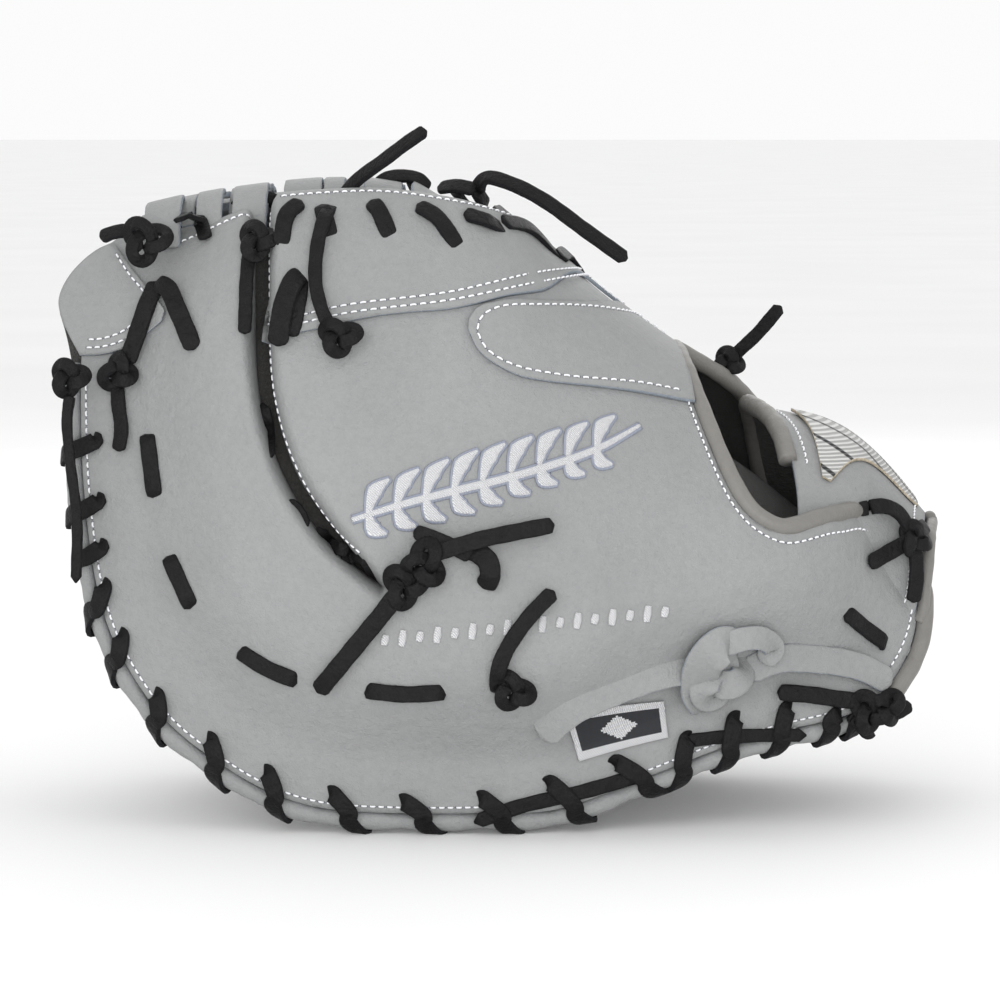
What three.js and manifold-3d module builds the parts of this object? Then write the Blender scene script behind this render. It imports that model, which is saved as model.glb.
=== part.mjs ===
// A first baseman mitt in grey leather with black rawhide lacing, resting pocket down on its two rims.
// Millimetres, +Z up, heel towards +X, fingertips towards -X, little-finger side towards -Y, thumb side towards +Y.
// Its leather lies on one arch that runs from the finger rim over the ridge to the thumb rim. A place on it has
// at, the share of the length, and turn, the angle round the arch: 0 at the finger rim, PI at the thumb rim.

import * as THREE from "three";
import { mergeVertices } from "three/addons/utils/BufferGeometryUtils.js";
import Module from "manifold-3d";

const wasm = await Module();
wasm.setup();
const { lerp, clamp, smoothstep, degToRad } = THREE.MathUtils;

// Overall sizes
const LENGTH = 300; // fingertips to heel
const HEIGHT = 210; // floor to the top of the finger stalls
const HALF_WIDTH = 66; // from the middle to the palm leather at the widest section
const HAND_ROOM = 24; // from the palm leather to the back leather over the knuckles

// Leather
const PALM_THICKNESS = 8; // padded
const PALM_EDGE = 4.5; // where the palm is laced
const BACK_LEATHER = 2.2;
const OVERLAY_LEATHER = 1.6;
const STRAP_THICKNESS = 3;
const STRAP_DROP = 6.6; // from the back leather's hand side to the strap, which passes under the bindings
const STRAP_BOW = 9; // how much the strap stands out over the wrist
const WEB_LEATHER = 2.6;

// Edges
const CLEARANCE = 0.35; // between pieces that touch
const CLOSED_ROOM = 1.2; // between palm and back where they are laced together
const LACED_EDGE = 12; // width of the flat rim that carries the lace holes
const RIM_ROUNDING = 40; // over which the back leather rises behind the laced rim
const STALL_ROUNDING = 9; // over which a stall's top edge rolls down to the palm
const SLIT_ROUNDING = 4.5; // over which a stall's side rolls down into the slit
const STALL_STEP = 3.5; // how much the inner stall stands proud of the outer one beside the slit
const BEAD_HEIGHT = 6.6; // the rolled bead along the rim, between two lace turns
const BEAD_PINCHED = 3.6; // the same bead under a lace turn
const BEAD_WIDTH = 7;
const ROLL_DIAMETER = 6; // rolled binding of the hand opening and of the strap

// Rawhide lacing
const LACE_WIDTH = 5.5;
const LACE_THICKNESS = 2;
const LACE_PITCH = { finger: 24, thumb: 30 }; // from one hole of a rim lace to the next
const HOLE_INSET = 8; // from the leather's edge to the lace holes
const HOLE_CLEARANCE = 1;
const LACE_SLACK = 1.3; // between the palm and the lace turns on its hand side
const WEB_LACE_PITCH = 32;
const WEB_LACE_REACH = 15; // from a stall's top edge to the holes of the web lace
const KNOT_SIZE = 15;
const KNOT_HEIGHT = 8;

// Adjusting tie of soft grey leather, patch and label
const TIE_WIDTH = 12;
const TIE_KNOT_SIZE = 25;
const TIE_KNOT_HEIGHT = 15;
const PATCH_THICKNESS = 1.2;
const LABEL_THICKNESS = 1.2;

// How finely the leather is divided, and how full its forms are
const STALL_FULLNESS = 0.8; // of the hand's room, beside the slit
const BEAD_FLAT = 1; // how much less high than wide a lace turn takes the bead to be
const KNOT_OVAL = 0.87; // a knot's width over its length
const ARCH_POWER = 2.6; // 2 is an ellipse, more is squarer
const EDGE_SAMPLES = 60;
const STRIP_STEP = 9;

// Sections from the fingertips to the heel. at is the share of LENGTH, ridge the share of HEIGHT,
// finger and thumb the half widths as shares of HALF_WIDTH, and room the share of HAND_ROOM.
const SECTIONS = [
  { at: 0.0, ridge: 0.94, finger: 0.7, thumb: 0.66, room: 0.3 },
  { at: 0.1, ridge: 0.985, finger: 0.84, thumb: 0.78, room: 0.42 },
  { at: 0.22, ridge: 1.015, finger: 0.94, thumb: 0.9, room: 0.56 },
  { at: 0.34, ridge: 1.025, finger: 0.99, thumb: 0.97, room: 0.66 },
  { at: 0.42, ridge: 1.0, finger: 1.0, thumb: 1.0, room: 0.76 },
  { at: 0.5, ridge: 0.915, finger: 1.0, thumb: 1.0, room: 0.84 },
  { at: 0.57, ridge: 0.8, finger: 0.97, thumb: 0.98, room: 0.9 },
  { at: 0.7, ridge: 0.645, finger: 0.88, thumb: 0.9, room: 1.0 },
  { at: 0.8, ridge: 0.55, finger: 0.8, thumb: 0.82, room: 1.14 },
  { at: 0.9, ridge: 0.43, finger: 0.72, thumb: 0.74, room: 1.25 },
  { at: 1.0, ridge: 0.29, finger: 0.64, thumb: 0.66, room: 0.9 },
];

// Leather edges. up is the share of HEIGHT, and aside the distance from the middle as a share of HALF_WIDTH.
const FINGER_RIM = [
  { at: 0.937, up: 0.202 },
  { at: 0.889, up: 0.176 },
  { at: 0.822, up: 0.157 },
  { at: 0.744, up: 0.128 },
  { at: 0.667, up: 0.088 },
  { at: 0.57, up: 0.041 },
  { at: 0.48, up: 0.036 },
  { at: 0.38, up: 0.036 },
  { at: 0.3, up: 0.044 },
  { at: 0.25, up: 0.065 },
  { at: 0.194, up: 0.108 },
  { at: 0.128, up: 0.18 },
  { at: 0.076, up: 0.286 },
  { at: 0.053, up: 0.373 },
  { at: 0.036, up: 0.532 },
  { at: 0.031, up: 0.69 },
  { at: 0.031, up: 0.773 },
];
const FINGER_TIP = [
  { at: 0.031, up: 0.773 },
  { at: 0.012, up: 0.8 },
  { at: 0.003, up: 0.84 },
  { at: 0.014, up: 0.881 },
  { at: 0.068, aside: 0.33 },
];
const OUTER_STALL_TOP = [
  { at: 0.068, aside: 0.33 },
  { at: 0.13, aside: 0.38 },
  { at: 0.228, aside: 0.41 },
];
const INNER_STALL_TOP = [
  { at: 0.244, aside: 0.41 },
  { at: 0.34, aside: 0.42 },
  { at: 0.42, aside: 0.4 },
  { at: 0.49, aside: 0.28 },
  { at: 0.53, aside: 0.13 },
  { at: 0.55, aside: 0 },
];
const SLIT_OUTER_EDGE = [
  { at: 0.228, aside: 0.41 },
  { at: 0.229, up: 0.88 },
  { at: 0.236, up: 0.7 },
  { at: 0.262, up: 0.58 },
  { at: 0.31, up: 0.475 },
  { at: 0.372, up: 0.402 },
];
const SLIT_INNER_EDGE = [
  { at: 0.244, aside: 0.41 },
  { at: 0.245, up: 0.88 },
  { at: 0.252, up: 0.7 },
  { at: 0.278, up: 0.58 },
  { at: 0.324, up: 0.485 },
  { at: 0.372, up: 0.402 },
];
const SEAM = [
  { at: 0.55, aside: 0 },
  { at: 0.61, aside: -0.05 },
  { at: 0.698, aside: -0.07 },
];
const FINGER_OPENING = [
  { at: 0.698, aside: -0.07 },
  { at: 0.706, up: 0.745 },
  { at: 0.731, up: 0.643 },
  { at: 0.767, up: 0.532 },
  { at: 0.789, up: 0.5 },
  { at: 0.817, up: 0.483 },
  { at: 0.878, up: 0.5 },
  { at: 0.911, up: 0.5 },
  { at: 0.95, up: 0.456 },
];
const FINGER_HEEL = [
  { at: 0.95, up: 0.456 },
  { at: 0.976, up: 0.405 },
  { at: 0.98, up: 0.329 },
  { at: 0.965, up: 0.262 },
  { at: 0.937, up: 0.202 },
];
const THUMB_RIM = [
  { at: 0.937, up: 0.202 },
  { at: 0.82, up: 0.143 },
  { at: 0.72, up: 0.095 },
  { at: 0.63, up: 0.045 },
  { at: 0.56, up: 0.036 },
  { at: 0.47, up: 0.036 },
  { at: 0.38, up: 0.038 },
  { at: 0.289, up: 0.08 },
  { at: 0.206, up: 0.167 },
  { at: 0.139, up: 0.294 },
  { at: 0.1, up: 0.437 },
  { at: 0.083, up: 0.58 },
  { at: 0.08, up: 0.77 },
];
const THUMB_TIP = [
  { at: 0.08, up: 0.77 },
  { at: 0.072, up: 0.82 },
  { at: 0.082, up: 0.87 },
  { at: 0.13, aside: 0.38 },
];
const THUMB_STALL_TOP = [
  { at: 0.13, aside: 0.38 },
  { at: 0.22, aside: 0.42 },
  { at: 0.34, aside: 0.43 },
  { at: 0.42, aside: 0.4 },
  { at: 0.49, aside: 0.28 },
  { at: 0.53, aside: 0.13 },
  { at: 0.55, aside: 0.012 },
];
const THUMB_OPENING = [
  { at: 0.75, aside: 0.18 },
  { at: 0.8, aside: 0.34 },
  { at: 0.85, aside: 0.56 },
  { at: 0.9, up: 0.5 },
  { at: 0.95, up: 0.456 },
];

// Inside the finger back, the lines from the slit's end to the rim and to the hand opening
const STALL_FOOT = { at: 0.35, up: 0.22 };
const STALL_FOOT_ON_RIM = 0.33;
const KNUCKLES = { at: 0.6, up: 0.42 };
const KNUCKLES_ON_OPENING = 0.817;

// The strap bows out over the wrist from a share of LENGTH on, most at a second share. It bows fully near the
// ridge, and less and less up to the angle from the ridge at which it passes under the bindings.
const BOW_FROM = 0.74;
const BOW_FULL = 0.87;
const BOW_ANGLES = { full: degToRad(3), none: degToRad(16) };

// The wrist strap and its label: front and back edges, as shares of LENGTH, at angles round the arch
const STRAP = [
  { degrees: 50, front: 0.838, back: 0.94 },
  { degrees: 57, front: 0.839, back: 0.975 },
  { degrees: 65, front: 0.833, back: 0.985 },
  { degrees: 76, front: 0.819, back: 0.993 },
  { degrees: 89, front: 0.802, back: 1.0 },
  { degrees: 102, front: 0.8, back: 1.0 },
  { degrees: 112, front: 0.808, back: 0.99 },
  { degrees: 122, front: 0.82, back: 0.98 },
  { degrees: 130, front: 0.835, back: 0.955 },
];
const LABEL = [
  { degrees: 62, front: 0.868, back: 0.877 },
  { degrees: 68, front: 0.863, back: 0.905 },
  { degrees: 74, front: 0.857, back: 0.945 },
  { degrees: 80, front: 0.85, back: 0.985 },
  { degrees: 88, front: 0.842, back: 0.988 },
];

// Web pieces from the fingertips to the heel
const WEB_BARS = [
  { name: "web_bar_tip", from: 0.1, to: 0.155 },
  { name: "web_bar_front", from: 0.195, to: 0.24 },
  { name: "web_bar_middle", from: 0.3, to: 0.385 },
  { name: "web_base", from: 0.43, to: 0.51 },
];
const WEB_POST = { from: 0.09, to: 0.475, halfWidth: 0.21 };

// Leather pieces sewn on the finger and thumb backs, each between a first and a last edge
const OVERLAYS = [
  {
    name: "fingertip_cap",
    first: [
      { at: 0.071, aside: 0.36 },
      { at: 0.022, up: 0.875 },
      { at: 0.012, up: 0.84 },
      { at: 0.036, up: 0.775 },
    ],
    last: [
      { at: 0.08, aside: 0.37 },
      { at: 0.105, up: 0.88 },
      { at: 0.12, up: 0.845 },
      { at: 0.128, up: 0.815 },
    ],
  },
  {
    name: "finger_hood",
    first: [
      { at: 0.474, up: 0.8 },
      { at: 0.5, up: 0.815 },
      { at: 0.544, up: 0.818 },
      { at: 0.611, up: 0.795 },
      { at: 0.685, aside: 0.16 },
    ],
    last: [
      { at: 0.472, up: 0.78 },
      { at: 0.511, up: 0.73 },
      { at: 0.567, up: 0.714 },
      { at: 0.656, up: 0.698 },
      { at: 0.7, up: 0.69 },
    ],
  },
  {
    name: "thumb_cap",
    thumbSide: true,
    first: [
      { at: 0.136, aside: 0.41 },
      { at: 0.092, up: 0.86 },
      { at: 0.09, up: 0.79 },
    ],
    last: [
      { at: 0.25, aside: 0.45 },
      { at: 0.24, up: 0.82 },
      { at: 0.2, up: 0.72 },
    ],
  },
];
const PATCH = {
  first: [
    { at: 0.572, up: 0.195 },
    { at: 0.683, up: 0.214 },
  ],
  last: [
    { at: 0.585, up: 0.12 },
    { at: 0.687, up: 0.15 },
  ],
};

// Laces that lie on the leather, each with its knot, if it shows one, and the runs of its strip from there.
// above is how far a free end stands off the leather, as a share of HEIGHT.
const LACES = [
  {
    name: "lace_tip_knot",
    knot: { at: 0.034, up: 0.715 },
    runs: [[{ at: 0.03, up: 0.6 }, { at: 0.034, up: 0.5 }, { at: 0.038, up: 0.4 }]],
  },
  {
    name: "lace_stall_knot",
    knot: { at: 0.08, up: 0.725 },
    runs: [
      [{ at: 0.079, up: 0.667 }, { at: 0.078, up: 0.603 }],
      [{ at: 0.1, up: 0.817 }, { at: 0.122, up: 0.868 }],
    ],
  },
  {
    name: "lace_stall_loop",
    runs: [[{ at: 0.136, up: 0.862 }, { at: 0.15, up: 0.81 }, { at: 0.158, up: 0.765 }]],
  },
  {
    name: "lace_slit_top_knot",
    knot: { at: 0.268, up: 0.92 },
    runs: [[{ at: 0.26, up: 0.87 }, { at: 0.258, up: 0.8 }]],
  },
  {
    name: "lace_index_loop",
    runs: [[{ at: 0.289, up: 0.885 }, { at: 0.28, up: 0.833 }, { at: 0.272, up: 0.775 }]],
  },
  {
    name: "lace_index_knot",
    knot: { at: 0.322, up: 0.786 },
    runs: [
      [
        { at: 0.308, up: 0.86 },
        { at: 0.312, up: 0.92, above: 0.006 },
        { at: 0.33, aside: 0.38, above: 0.006 },
        { at: 0.37, aside: 0.26, above: 0.04 },
        { at: 0.417, aside: 0.2, above: 0.1 },
      ],
    ],
  },
  {
    name: "lace_slit_end_knot",
    knot: { at: 0.403, up: 0.42 },
    runs: [
      [{ at: 0.35, up: 0.31 }, { at: 0.3, up: 0.225 }],
      [{ at: 0.44, up: 0.45 }, { at: 0.5, up: 0.474 }, { at: 0.561, up: 0.488 }],
    ],
  },
  {
    name: "lace_slit_end_loop",
    runs: [[{ at: 0.462, up: 0.425 }, { at: 0.478, up: 0.42 }, { at: 0.486, up: 0.39 }]],
  },
  {
    name: "lace_palm_knot",
    knot: { at: 0.511, up: 0.23 },
    runs: [[{ at: 0.517, up: 0.31 }, { at: 0.561, up: 0.386 }]],
  },
  {
    name: "lace_heel_knot",
    knot: { at: 0.895, up: 0.245 },
    runs: [[{ at: 0.85, up: 0.232 }, { at: 0.805, up: 0.225 }]],
  },
  {
    name: "lace_stall_stitch_1",
    runs: [[{ at: 0.109, up: 0.635 }, { at: 0.111, up: 0.59 }, { at: 0.115, up: 0.54 }]],
  },
  {
    name: "lace_stall_stitch_2",
    runs: [[{ at: 0.131, up: 0.444 }, { at: 0.143, up: 0.4 }, { at: 0.159, up: 0.36 }]],
  },
  {
    name: "lace_stall_stitch_3",
    runs: [[{ at: 0.209, up: 0.297 }, { at: 0.24, up: 0.262 }, { at: 0.276, up: 0.243 }]],
  },
  {
    name: "lace_stall_stitch_4",
    runs: [[{ at: 0.35, up: 0.232 }, { at: 0.395, up: 0.226 }, { at: 0.439, up: 0.225 }]],
  },
  {
    name: "lace_heel_stitch",
    runs: [[{ at: 0.883, up: 0.354 }, { at: 0.905, up: 0.325 }, { at: 0.931, up: 0.302 }]],
  },
  {
    name: "lace_web_tip_knot",
    knot: { at: 0.118, aside: 0.2 },
    runs: [[{ at: 0.085, aside: 0.2 }, { at: 0.062, aside: 0.21, above: 0.01 }]],
  },
  {
    name: "lace_web_tail",
    runs: [
      [
        { at: 0.46, aside: 0.1 },
        { at: 0.49, aside: 0.06, above: 0.01 },
        { at: 0.53, aside: 0.03, above: 0.05 },
        { at: 0.58, aside: 0.02, above: 0.075 },
        { at: 0.642, aside: 0.02, above: 0.07 },
      ],
    ],
  },
  {
    name: "lace_thumb_tail",
    thumbSide: true,
    knot: { at: 0.71, aside: 0.3 },
    runs: [
      [
        { at: 0.74, aside: 0.25, above: 0.04 },
        { at: 0.775, aside: 0.22, above: 0.1 },
        { at: 0.811, aside: 0.2, above: 0.16 },
      ],
    ],
  },
  {
    name: "lace_strap_cross",
    knot: { at: 0.915, up: 0.43 },
    runs: [[{ at: 0.9, up: 0.41 }, { at: 0.885, up: 0.395 }]],
  },
];
const TIE = {
  name: "adjusting_tie",
  knot: { at: 0.747, up: 0.262 },
  runs: [
    [{ at: 0.66, up: 0.228 }, { at: 0.6, up: 0.19, above: 0.008 }, { at: 0.544, up: 0.15 }],
    [{ at: 0.8, up: 0.288 }, { at: 0.84, up: 0.292 }, { at: 0.9, up: 0.285 }],
  ],
};

// The value of a column of SECTIONS at a share of the length, on a smooth curve through the rows.
function section(column, at) {
  const last = SECTIONS.length - 1;
  let row = 0;
  while (row < last - 1 && at > SECTIONS[row + 1].at) row += 1;
  const slope = (i) => {
    const a = SECTIONS[Math.max(i - 1, 0)];
    const b = SECTIONS[Math.min(i + 1, last)];
    return (b[column] - a[column]) / (b.at - a.at);
  };
  const [from, to] = [SECTIONS[row], SECTIONS[row + 1]];
  const span = to.at - from.at;
  const t = clamp((at - from.at) / span, 0, 1);
  const rise = to[column] - from[column];
  const a = slope(row) * span - rise;
  const b = rise - slope(row + 1) * span;
  return from[column] + rise * t + t * (1 - t) * (a * (1 - t) + b * t);
}

// The arch of the palm leather's hand side at a place: its half width and ridge, and the place's shares of them.
function archAt({ at, turn }) {
  const across = Math.abs(Math.cos(turn));
  const up = Math.sin(turn);
  const reach = (across ** ARCH_POWER + up ** ARCH_POWER) ** (-1 / ARCH_POWER);
  const side = turn < Math.PI / 2 ? -1 : 1;
  const half = HALF_WIDTH * section(side < 0 ? "finger" : "thumb", at);
  return { half, ridge: HEIGHT * section("ridge", at), across: across * reach, up: up * reach, side };
}
function normalAt(place) {
  const { half, ridge, across, up, side } = archAt(place);
  const [y, z] = [across ** (ARCH_POWER - 1) / half, up ** (ARCH_POWER - 1) / ridge];
  return new THREE.Vector3(0, side * y, z).normalize();
}

// A point of a place, lifted off the palm leather's hand side along the arch's normal.
function pointAt(place, lift = 0) {
  const { half, ridge, across, up, side } = archAt(place);
  const point = new THREE.Vector3((place.at - 0.5) * LENGTH, side * half * across, ridge * up);
  return point.addScaledVector(normalAt(place), lift);
}

// The place of a table's row, on a surface with that lift. A negative aside is across the ridge.
function placeOf(row, liftOf, thumbSide = false) {
  const onSide = (turn) => (thumbSide ? Math.PI - turn : turn);
  const isBelow = (turn) => {
    const place = { at: row.at, turn: onSide(turn) };
    if (row.up === undefined) return Math.abs(pointAt(place).y) > Math.abs(row.aside) * HALF_WIDTH;
    return pointAt(place, liftOf(place)).z < row.up * HEIGHT;
  };
  let [low, high] = [0.001, Math.PI / 2];
  for (let i = 0; i < 30; i += 1) {
    const middle = (low + high) / 2;
    if (isBelow(middle)) low = middle;
    else high = middle;
  }
  return { at: row.at, turn: row.aside < 0 ? Math.PI - onSide(low) : onSide(low), above: row.above ?? 0 };
}

// A line over the arch through places, as a function of the share of its length.
const GIRTH = (HALF_WIDTH + HEIGHT) / (Math.PI / 2); // for each radian of turn
function lineOf(places) {
  const points = places.map((p) => new THREE.Vector3(p.at * LENGTH, p.turn * GIRTH, (p.above ?? 0) * HEIGHT));
  const curve = new THREE.CatmullRomCurve3(points, false, "centripetal");
  const along = (share) => {
    const point = curve.getPointAt(clamp(share, 0, 1));
    return { at: point.x / LENGTH, turn: point.y / GIRTH, above: point.z / HEIGHT };
  };
  return Object.assign(along, { measured: curve.getLength() });
}
const line = (rows, liftOf, thumbSide) => lineOf(rows.map((row) => placeOf(row, liftOf, thumbSide)));
const reversed = (along) => (share) => along(1 - share);
const part = (along, from, to) => (share) => along(lerp(from, to, share));

// Lines one after another as one line. Each comes with the share at which it ends.
function joined(...parts) {
  return (share) => {
    const index = parts.findIndex(([, until]) => share <= until + 1e-9);
    const [along, until] = parts[index];
    const from = index > 0 ? parts[index - 1][1] : 0;
    return along((share - from) / (until - from));
  };
}

// The share of a line at which it reaches a share of the length.
function shareAt(along, at) {
  const rises = along(1).at > along(0).at;
  let [low, high] = [0, 1];
  for (let i = 0; i < 30; i += 1) {
    const middle = (low + high) / 2;
    if (along(middle).at < at === rises) low = middle;
    else high = middle;
  }
  return low;
}
const evenly = (count) => Array.from({ length: count + 1 }, (_, i) => i / count);
// Shares from 0 to 1 that crowd where leather rolls down at the start, with a last step of their own.
function crowded(count, roll, end = 0) {
  const middle = evenly(count).map((share) => lerp(roll, 1 - end, share));
  return [0, 0.3 * roll, ...middle, ...(end ? [1] : [])];
}
const samples = (along, count) => evenly(count).map((share) => pointAt(along(share)));

const closedLift = () => CLOSED_ROOM + BACK_LEATHER;
const fullRoom = (at) => HAND_ROOM * section("room", at);
const stallLift = ({ at }) => STALL_FULLNESS * fullRoom(at);

const fingerRim = line(FINGER_RIM, closedLift);
const fingerTip = line(FINGER_TIP, closedLift);
const outerStallTop = line(OUTER_STALL_TOP, closedLift);
const innerStallTop = line(INNER_STALL_TOP, closedLift);
const slitOuter = line(SLIT_OUTER_EDGE, stallLift);
const slitInner = line(SLIT_INNER_EDGE, stallLift);
const thumbRim = line(THUMB_RIM, closedLift, true);
const thumbTip = line(THUMB_TIP, closedLift, true);
const thumbStallTop = line(THUMB_STALL_TOP, closedLift, true);

const edges = {
  fingerRim: [...samples(fingerRim, EDGE_SAMPLES), ...samples(fingerTip, EDGE_SAMPLES / 6)],
  thumbRim: [...samples(thumbRim, EDGE_SAMPLES), ...samples(thumbTip, EDGE_SAMPLES / 6)],
  fingerTop: [...samples(outerStallTop, EDGE_SAMPLES / 6), ...samples(innerStallTop, EDGE_SAMPLES / 3)],
  thumbTop: samples(thumbStallTop, EDGE_SAMPLES / 2),
  slitOuter: samples(slitOuter, EDGE_SAMPLES / 2),
  slitInner: samples(slitInner, EDGE_SAMPLES / 2),
};

function distanceTo(edge, point) {
  const segment = new THREE.Line3();
  const foot = new THREE.Vector3();
  let least = Infinity;
  for (let i = 1; i < edge.length; i += 1) {
    segment.set(edge[i - 1], edge[i]).closestPointToPoint(point, true, foot);
    least = Math.min(least, foot.distanceTo(point));
  }
  return least;
}
const rimDistance = (place) =>
  distanceTo(place.turn > Math.PI / 2 ? edges.thumbRim : edges.fingerRim, pointAt(place));

// A quarter circle's rise: 0 at the edge, 1 from its radius on.
const rolled = (distance, radius) => Math.sqrt(1 - (1 - Math.min(distance / radius, 1)) ** 2);

// The room between palm and back leather: closed along the laced rim, at a stall's top edge and in the slit.
function handRoom(place) {
  const point = pointAt(place);
  const thumbSide = place.turn > Math.PI / 2;
  const top = distanceTo(thumbSide ? edges.thumbTop : edges.fingerTop, point);
  const rise = smoothstep(rimDistance(place), LACED_EDGE, LACED_EDGE + RIM_ROUNDING);
  let room = fullRoom(place.at) * rise;
  if (!thumbSide) {
    const outer = distanceTo(edges.slitOuter, point);
    const inner = distanceTo(edges.slitInner, point);
    const slit = Math.min(outer, inner);
    const proud = smoothstep(outer - inner, -2, 3) * Math.exp(-slit / RIM_ROUNDING);
    room = (room + STALL_STEP * proud * rise) * rolled(slit, SLIT_ROUNDING);
  }
  return Math.max(room * rolled(top, STALL_ROUNDING), CLOSED_ROOM);
}
const backLift = (place) => handRoom(place) + BACK_LEATHER;

// The palm is thinner along its laced rim.
const palmLift = (place) =>
  -lerp(PALM_EDGE, PALM_THICKNESS, smoothstep(rimDistance(place), LACED_EDGE, RIM_ROUNDING));

// A grid of places between four edges that share their corners.
function patch(downShares, alongShares, { top, bottom, start, end }) {
  const corners = [top(0), top(1), bottom(0), bottom(1)];
  return downShares.map((u) =>
    alongShares.map((v) => {
      const sides = [top(v), bottom(v), start(u), end(u)];
      const blend = (key) => {
        const [t, b, s, e] = sides.map((place) => place[key]);
        const [c00, c01, c10, c11] = corners.map((place) => place[key]);
        const between = (1 - u) * ((1 - v) * c00 + v * c01) + u * ((1 - v) * c10 + v * c11);
        return (1 - u) * t + u * b + (1 - v) * s + v * e - between;
      };
      return { at: blend("at"), turn: blend("turn") };
    }),
  );
}
const between = (down, along, first, last) =>
  patch(down, along, {
    top: first,
    bottom: last,
    start: lineOf([first(0), last(0)]),
    end: lineOf([first(1), last(1)]),
  });

// A solid from a closed set of faces, whichever way they point.
function solidFrom(vertices, triangles) {
  const bare = new THREE.BufferGeometry().setFromPoints(vertices).setIndex(triangles.flat());
  const merged = mergeVertices(bare, 1e-4);
  const vertProperties = merged.getAttribute("position").array;
  const make = (triVerts) => new wasm.Manifold(new wasm.Mesh({ numProp: 3, vertProperties, triVerts }));
  const solid = make(new Uint32Array(merged.index.array));
  return solid.volume() > 0 ? solid : make(new Uint32Array(merged.index.array).reverse());
}

// A closed sheet over one or more grids of places, from its inner lift to its outer lift.
function sheet(grids, innerLift, outerLift) {
  const index = new Map();
  const places = [];
  const number = (place) => {
    const key = `${place.at.toFixed(5)} ${place.turn.toFixed(5)}`;
    if (!index.has(key)) index.set(key, places.push(place) - 1);
    return index.get(key);
  };
  const area = ([a, b, c, d]) => (c.at - a.at) * (d.turn - b.turn) - (c.turn - a.turn) * (d.at - b.at);
  const faces = grids.flatMap((grid) => {
    const cells = grid
      .slice(1)
      .flatMap((row, i) => row.slice(1).map((_, j) => [grid[i][j], grid[i][j + 1], row[j + 1], row[j]]));
    const facesIn = cells.reduce((sum, cell) => sum + area(cell), 0) < 0;
    return cells.flatMap((cell) => {
      const [a, b, c, d] = (facesIn ? cell.toReversed() : cell).map(number);
      return [
        [a, b, c],
        [a, c, d],
      ];
    });
  });
  const outside = faces.filter(([a, b, c]) => a !== b && b !== c && c !== a);
  const count = places.length;
  const directed = new Set(outside.flatMap(([a, b, c]) => [`${a} ${b}`, `${b} ${c}`, `${c} ${a}`]));
  const walls = [...directed]
    .map((edge) => edge.split(" ").map(Number))
    .filter(([a, b]) => !directed.has(`${b} ${a}`))
    .flatMap(([a, b]) => [
      [b, a, a + count],
      [b, a + count, b + count],
    ]);
  const inside = outside.map(([a, b, c]) => [c + count, b + count, a + count]);
  const outer = places.map((place) => pointAt(place, outerLift(place)));
  const inner = places.map((place) => pointAt(place, innerLift(place)));
  return solidFrom([...outer, ...inner], [...outside, ...inside, ...walls]);
}

// A closed bar through rings of as many points each, which run the same way round.
function bar(rings) {
  const n = rings[0].length;
  const faces = [];
  for (let i = 1; i < rings.length; i += 1) {
    for (let j = 0; j < n; j += 1) {
      const [a, b] = [(i - 1) * n + j, (i - 1) * n + ((j + 1) % n)];
      faces.push([a, b, b + n], [a, b + n, a + n]);
    }
  }
  const last = (rings.length - 1) * n;
  for (let j = 2; j < n; j += 1) faces.push([0, j, j - 1], [last, last + j - 1, last + j]);
  return solidFrom(rings.flat(), faces);
}

// The way square to the leather at a place, which also follows its slope along the length.
function outOf({ at, turn }) {
  const [ahead, round] = [0.002, 0.01];
  const along = pointAt({ at: at + ahead, turn }).sub(pointAt({ at: at - ahead, turn }));
  const over = pointAt({ at, turn: turn + round }).sub(pointAt({ at, turn: Math.max(turn - round, 0) }));
  const normal = over.cross(along).normalize();
  return normal.dot(normalAt({ at, turn })) < 0 ? normal.negate() : normal;
}

// A point on an edge, and the ways along the edge, out of the leather and off the leather's edge.
function stationAt(place, lift, before, after, side, normal) {
  const forward = after.clone().sub(before).normalize();
  normal.addScaledVector(forward, -normal.dot(forward)).normalize();
  const off = new THREE.Vector3().crossVectors(normal, forward).multiplyScalar(side);
  return { centre: pointAt(place, lift), forward, normal, off };
}
function stationOn(along, share, liftOf, side) {
  const reach = 0.004;
  const pointOn = (s) => {
    const place = along(clamp(s, 0, 1));
    return pointAt(place, liftOf(place));
  };
  const place = along(clamp(share, 0, 1));
  return stationAt(place, liftOf(place), pointOn(share - reach), pointOn(share + reach), side, outOf(place));
}
const moved = ({ centre, off, normal, forward }, offBy, liftBy, forwardBy = 0) =>
  centre
    .clone()
    .addScaledVector(off, offBy)
    .addScaledVector(normal, liftBy)
    .addScaledVector(forward, forwardBy);
function ringAt(station, offBy, liftBy, width, height, sides = 6) {
  return Array.from({ length: sides }, (_, i) => {
    const angle = (i * 2 * Math.PI) / sides;
    return moved(station, offBy + (Math.cos(angle) * width) / 2, liftBy + (Math.sin(angle) * height) / 2);
  });
}
const onFloor = (solid) => solid.trimByPlane([0, 0, 1], 0);

const material = (color, roughness) => new THREE.MeshStandardMaterial({ color, roughness, metalness: 0 });
const greyLeather = material("#9da0a2", 0.7);
const bindingLeather = material("#86857f", 0.5);
const blackRawhide = material("#26262a", 0.6);
const wovenLabel = material("#b9bab6", 0.85);
const embroidery = material("#e6e6e6", 0.8);

const mitt = new THREE.Group();
function add(name, solid, look) {
  const { vertProperties, triVerts } = solid.getMesh();
  const geometry = new THREE.BufferGeometry();
  geometry.setAttribute("position", new THREE.BufferAttribute(vertProperties, 3));
  geometry.setIndex(new THREE.BufferAttribute(triVerts, 1));
  const piece = new THREE.Mesh(geometry, look);
  piece.name = name;
  mitt.add(piece);
  return piece;
}

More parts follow.
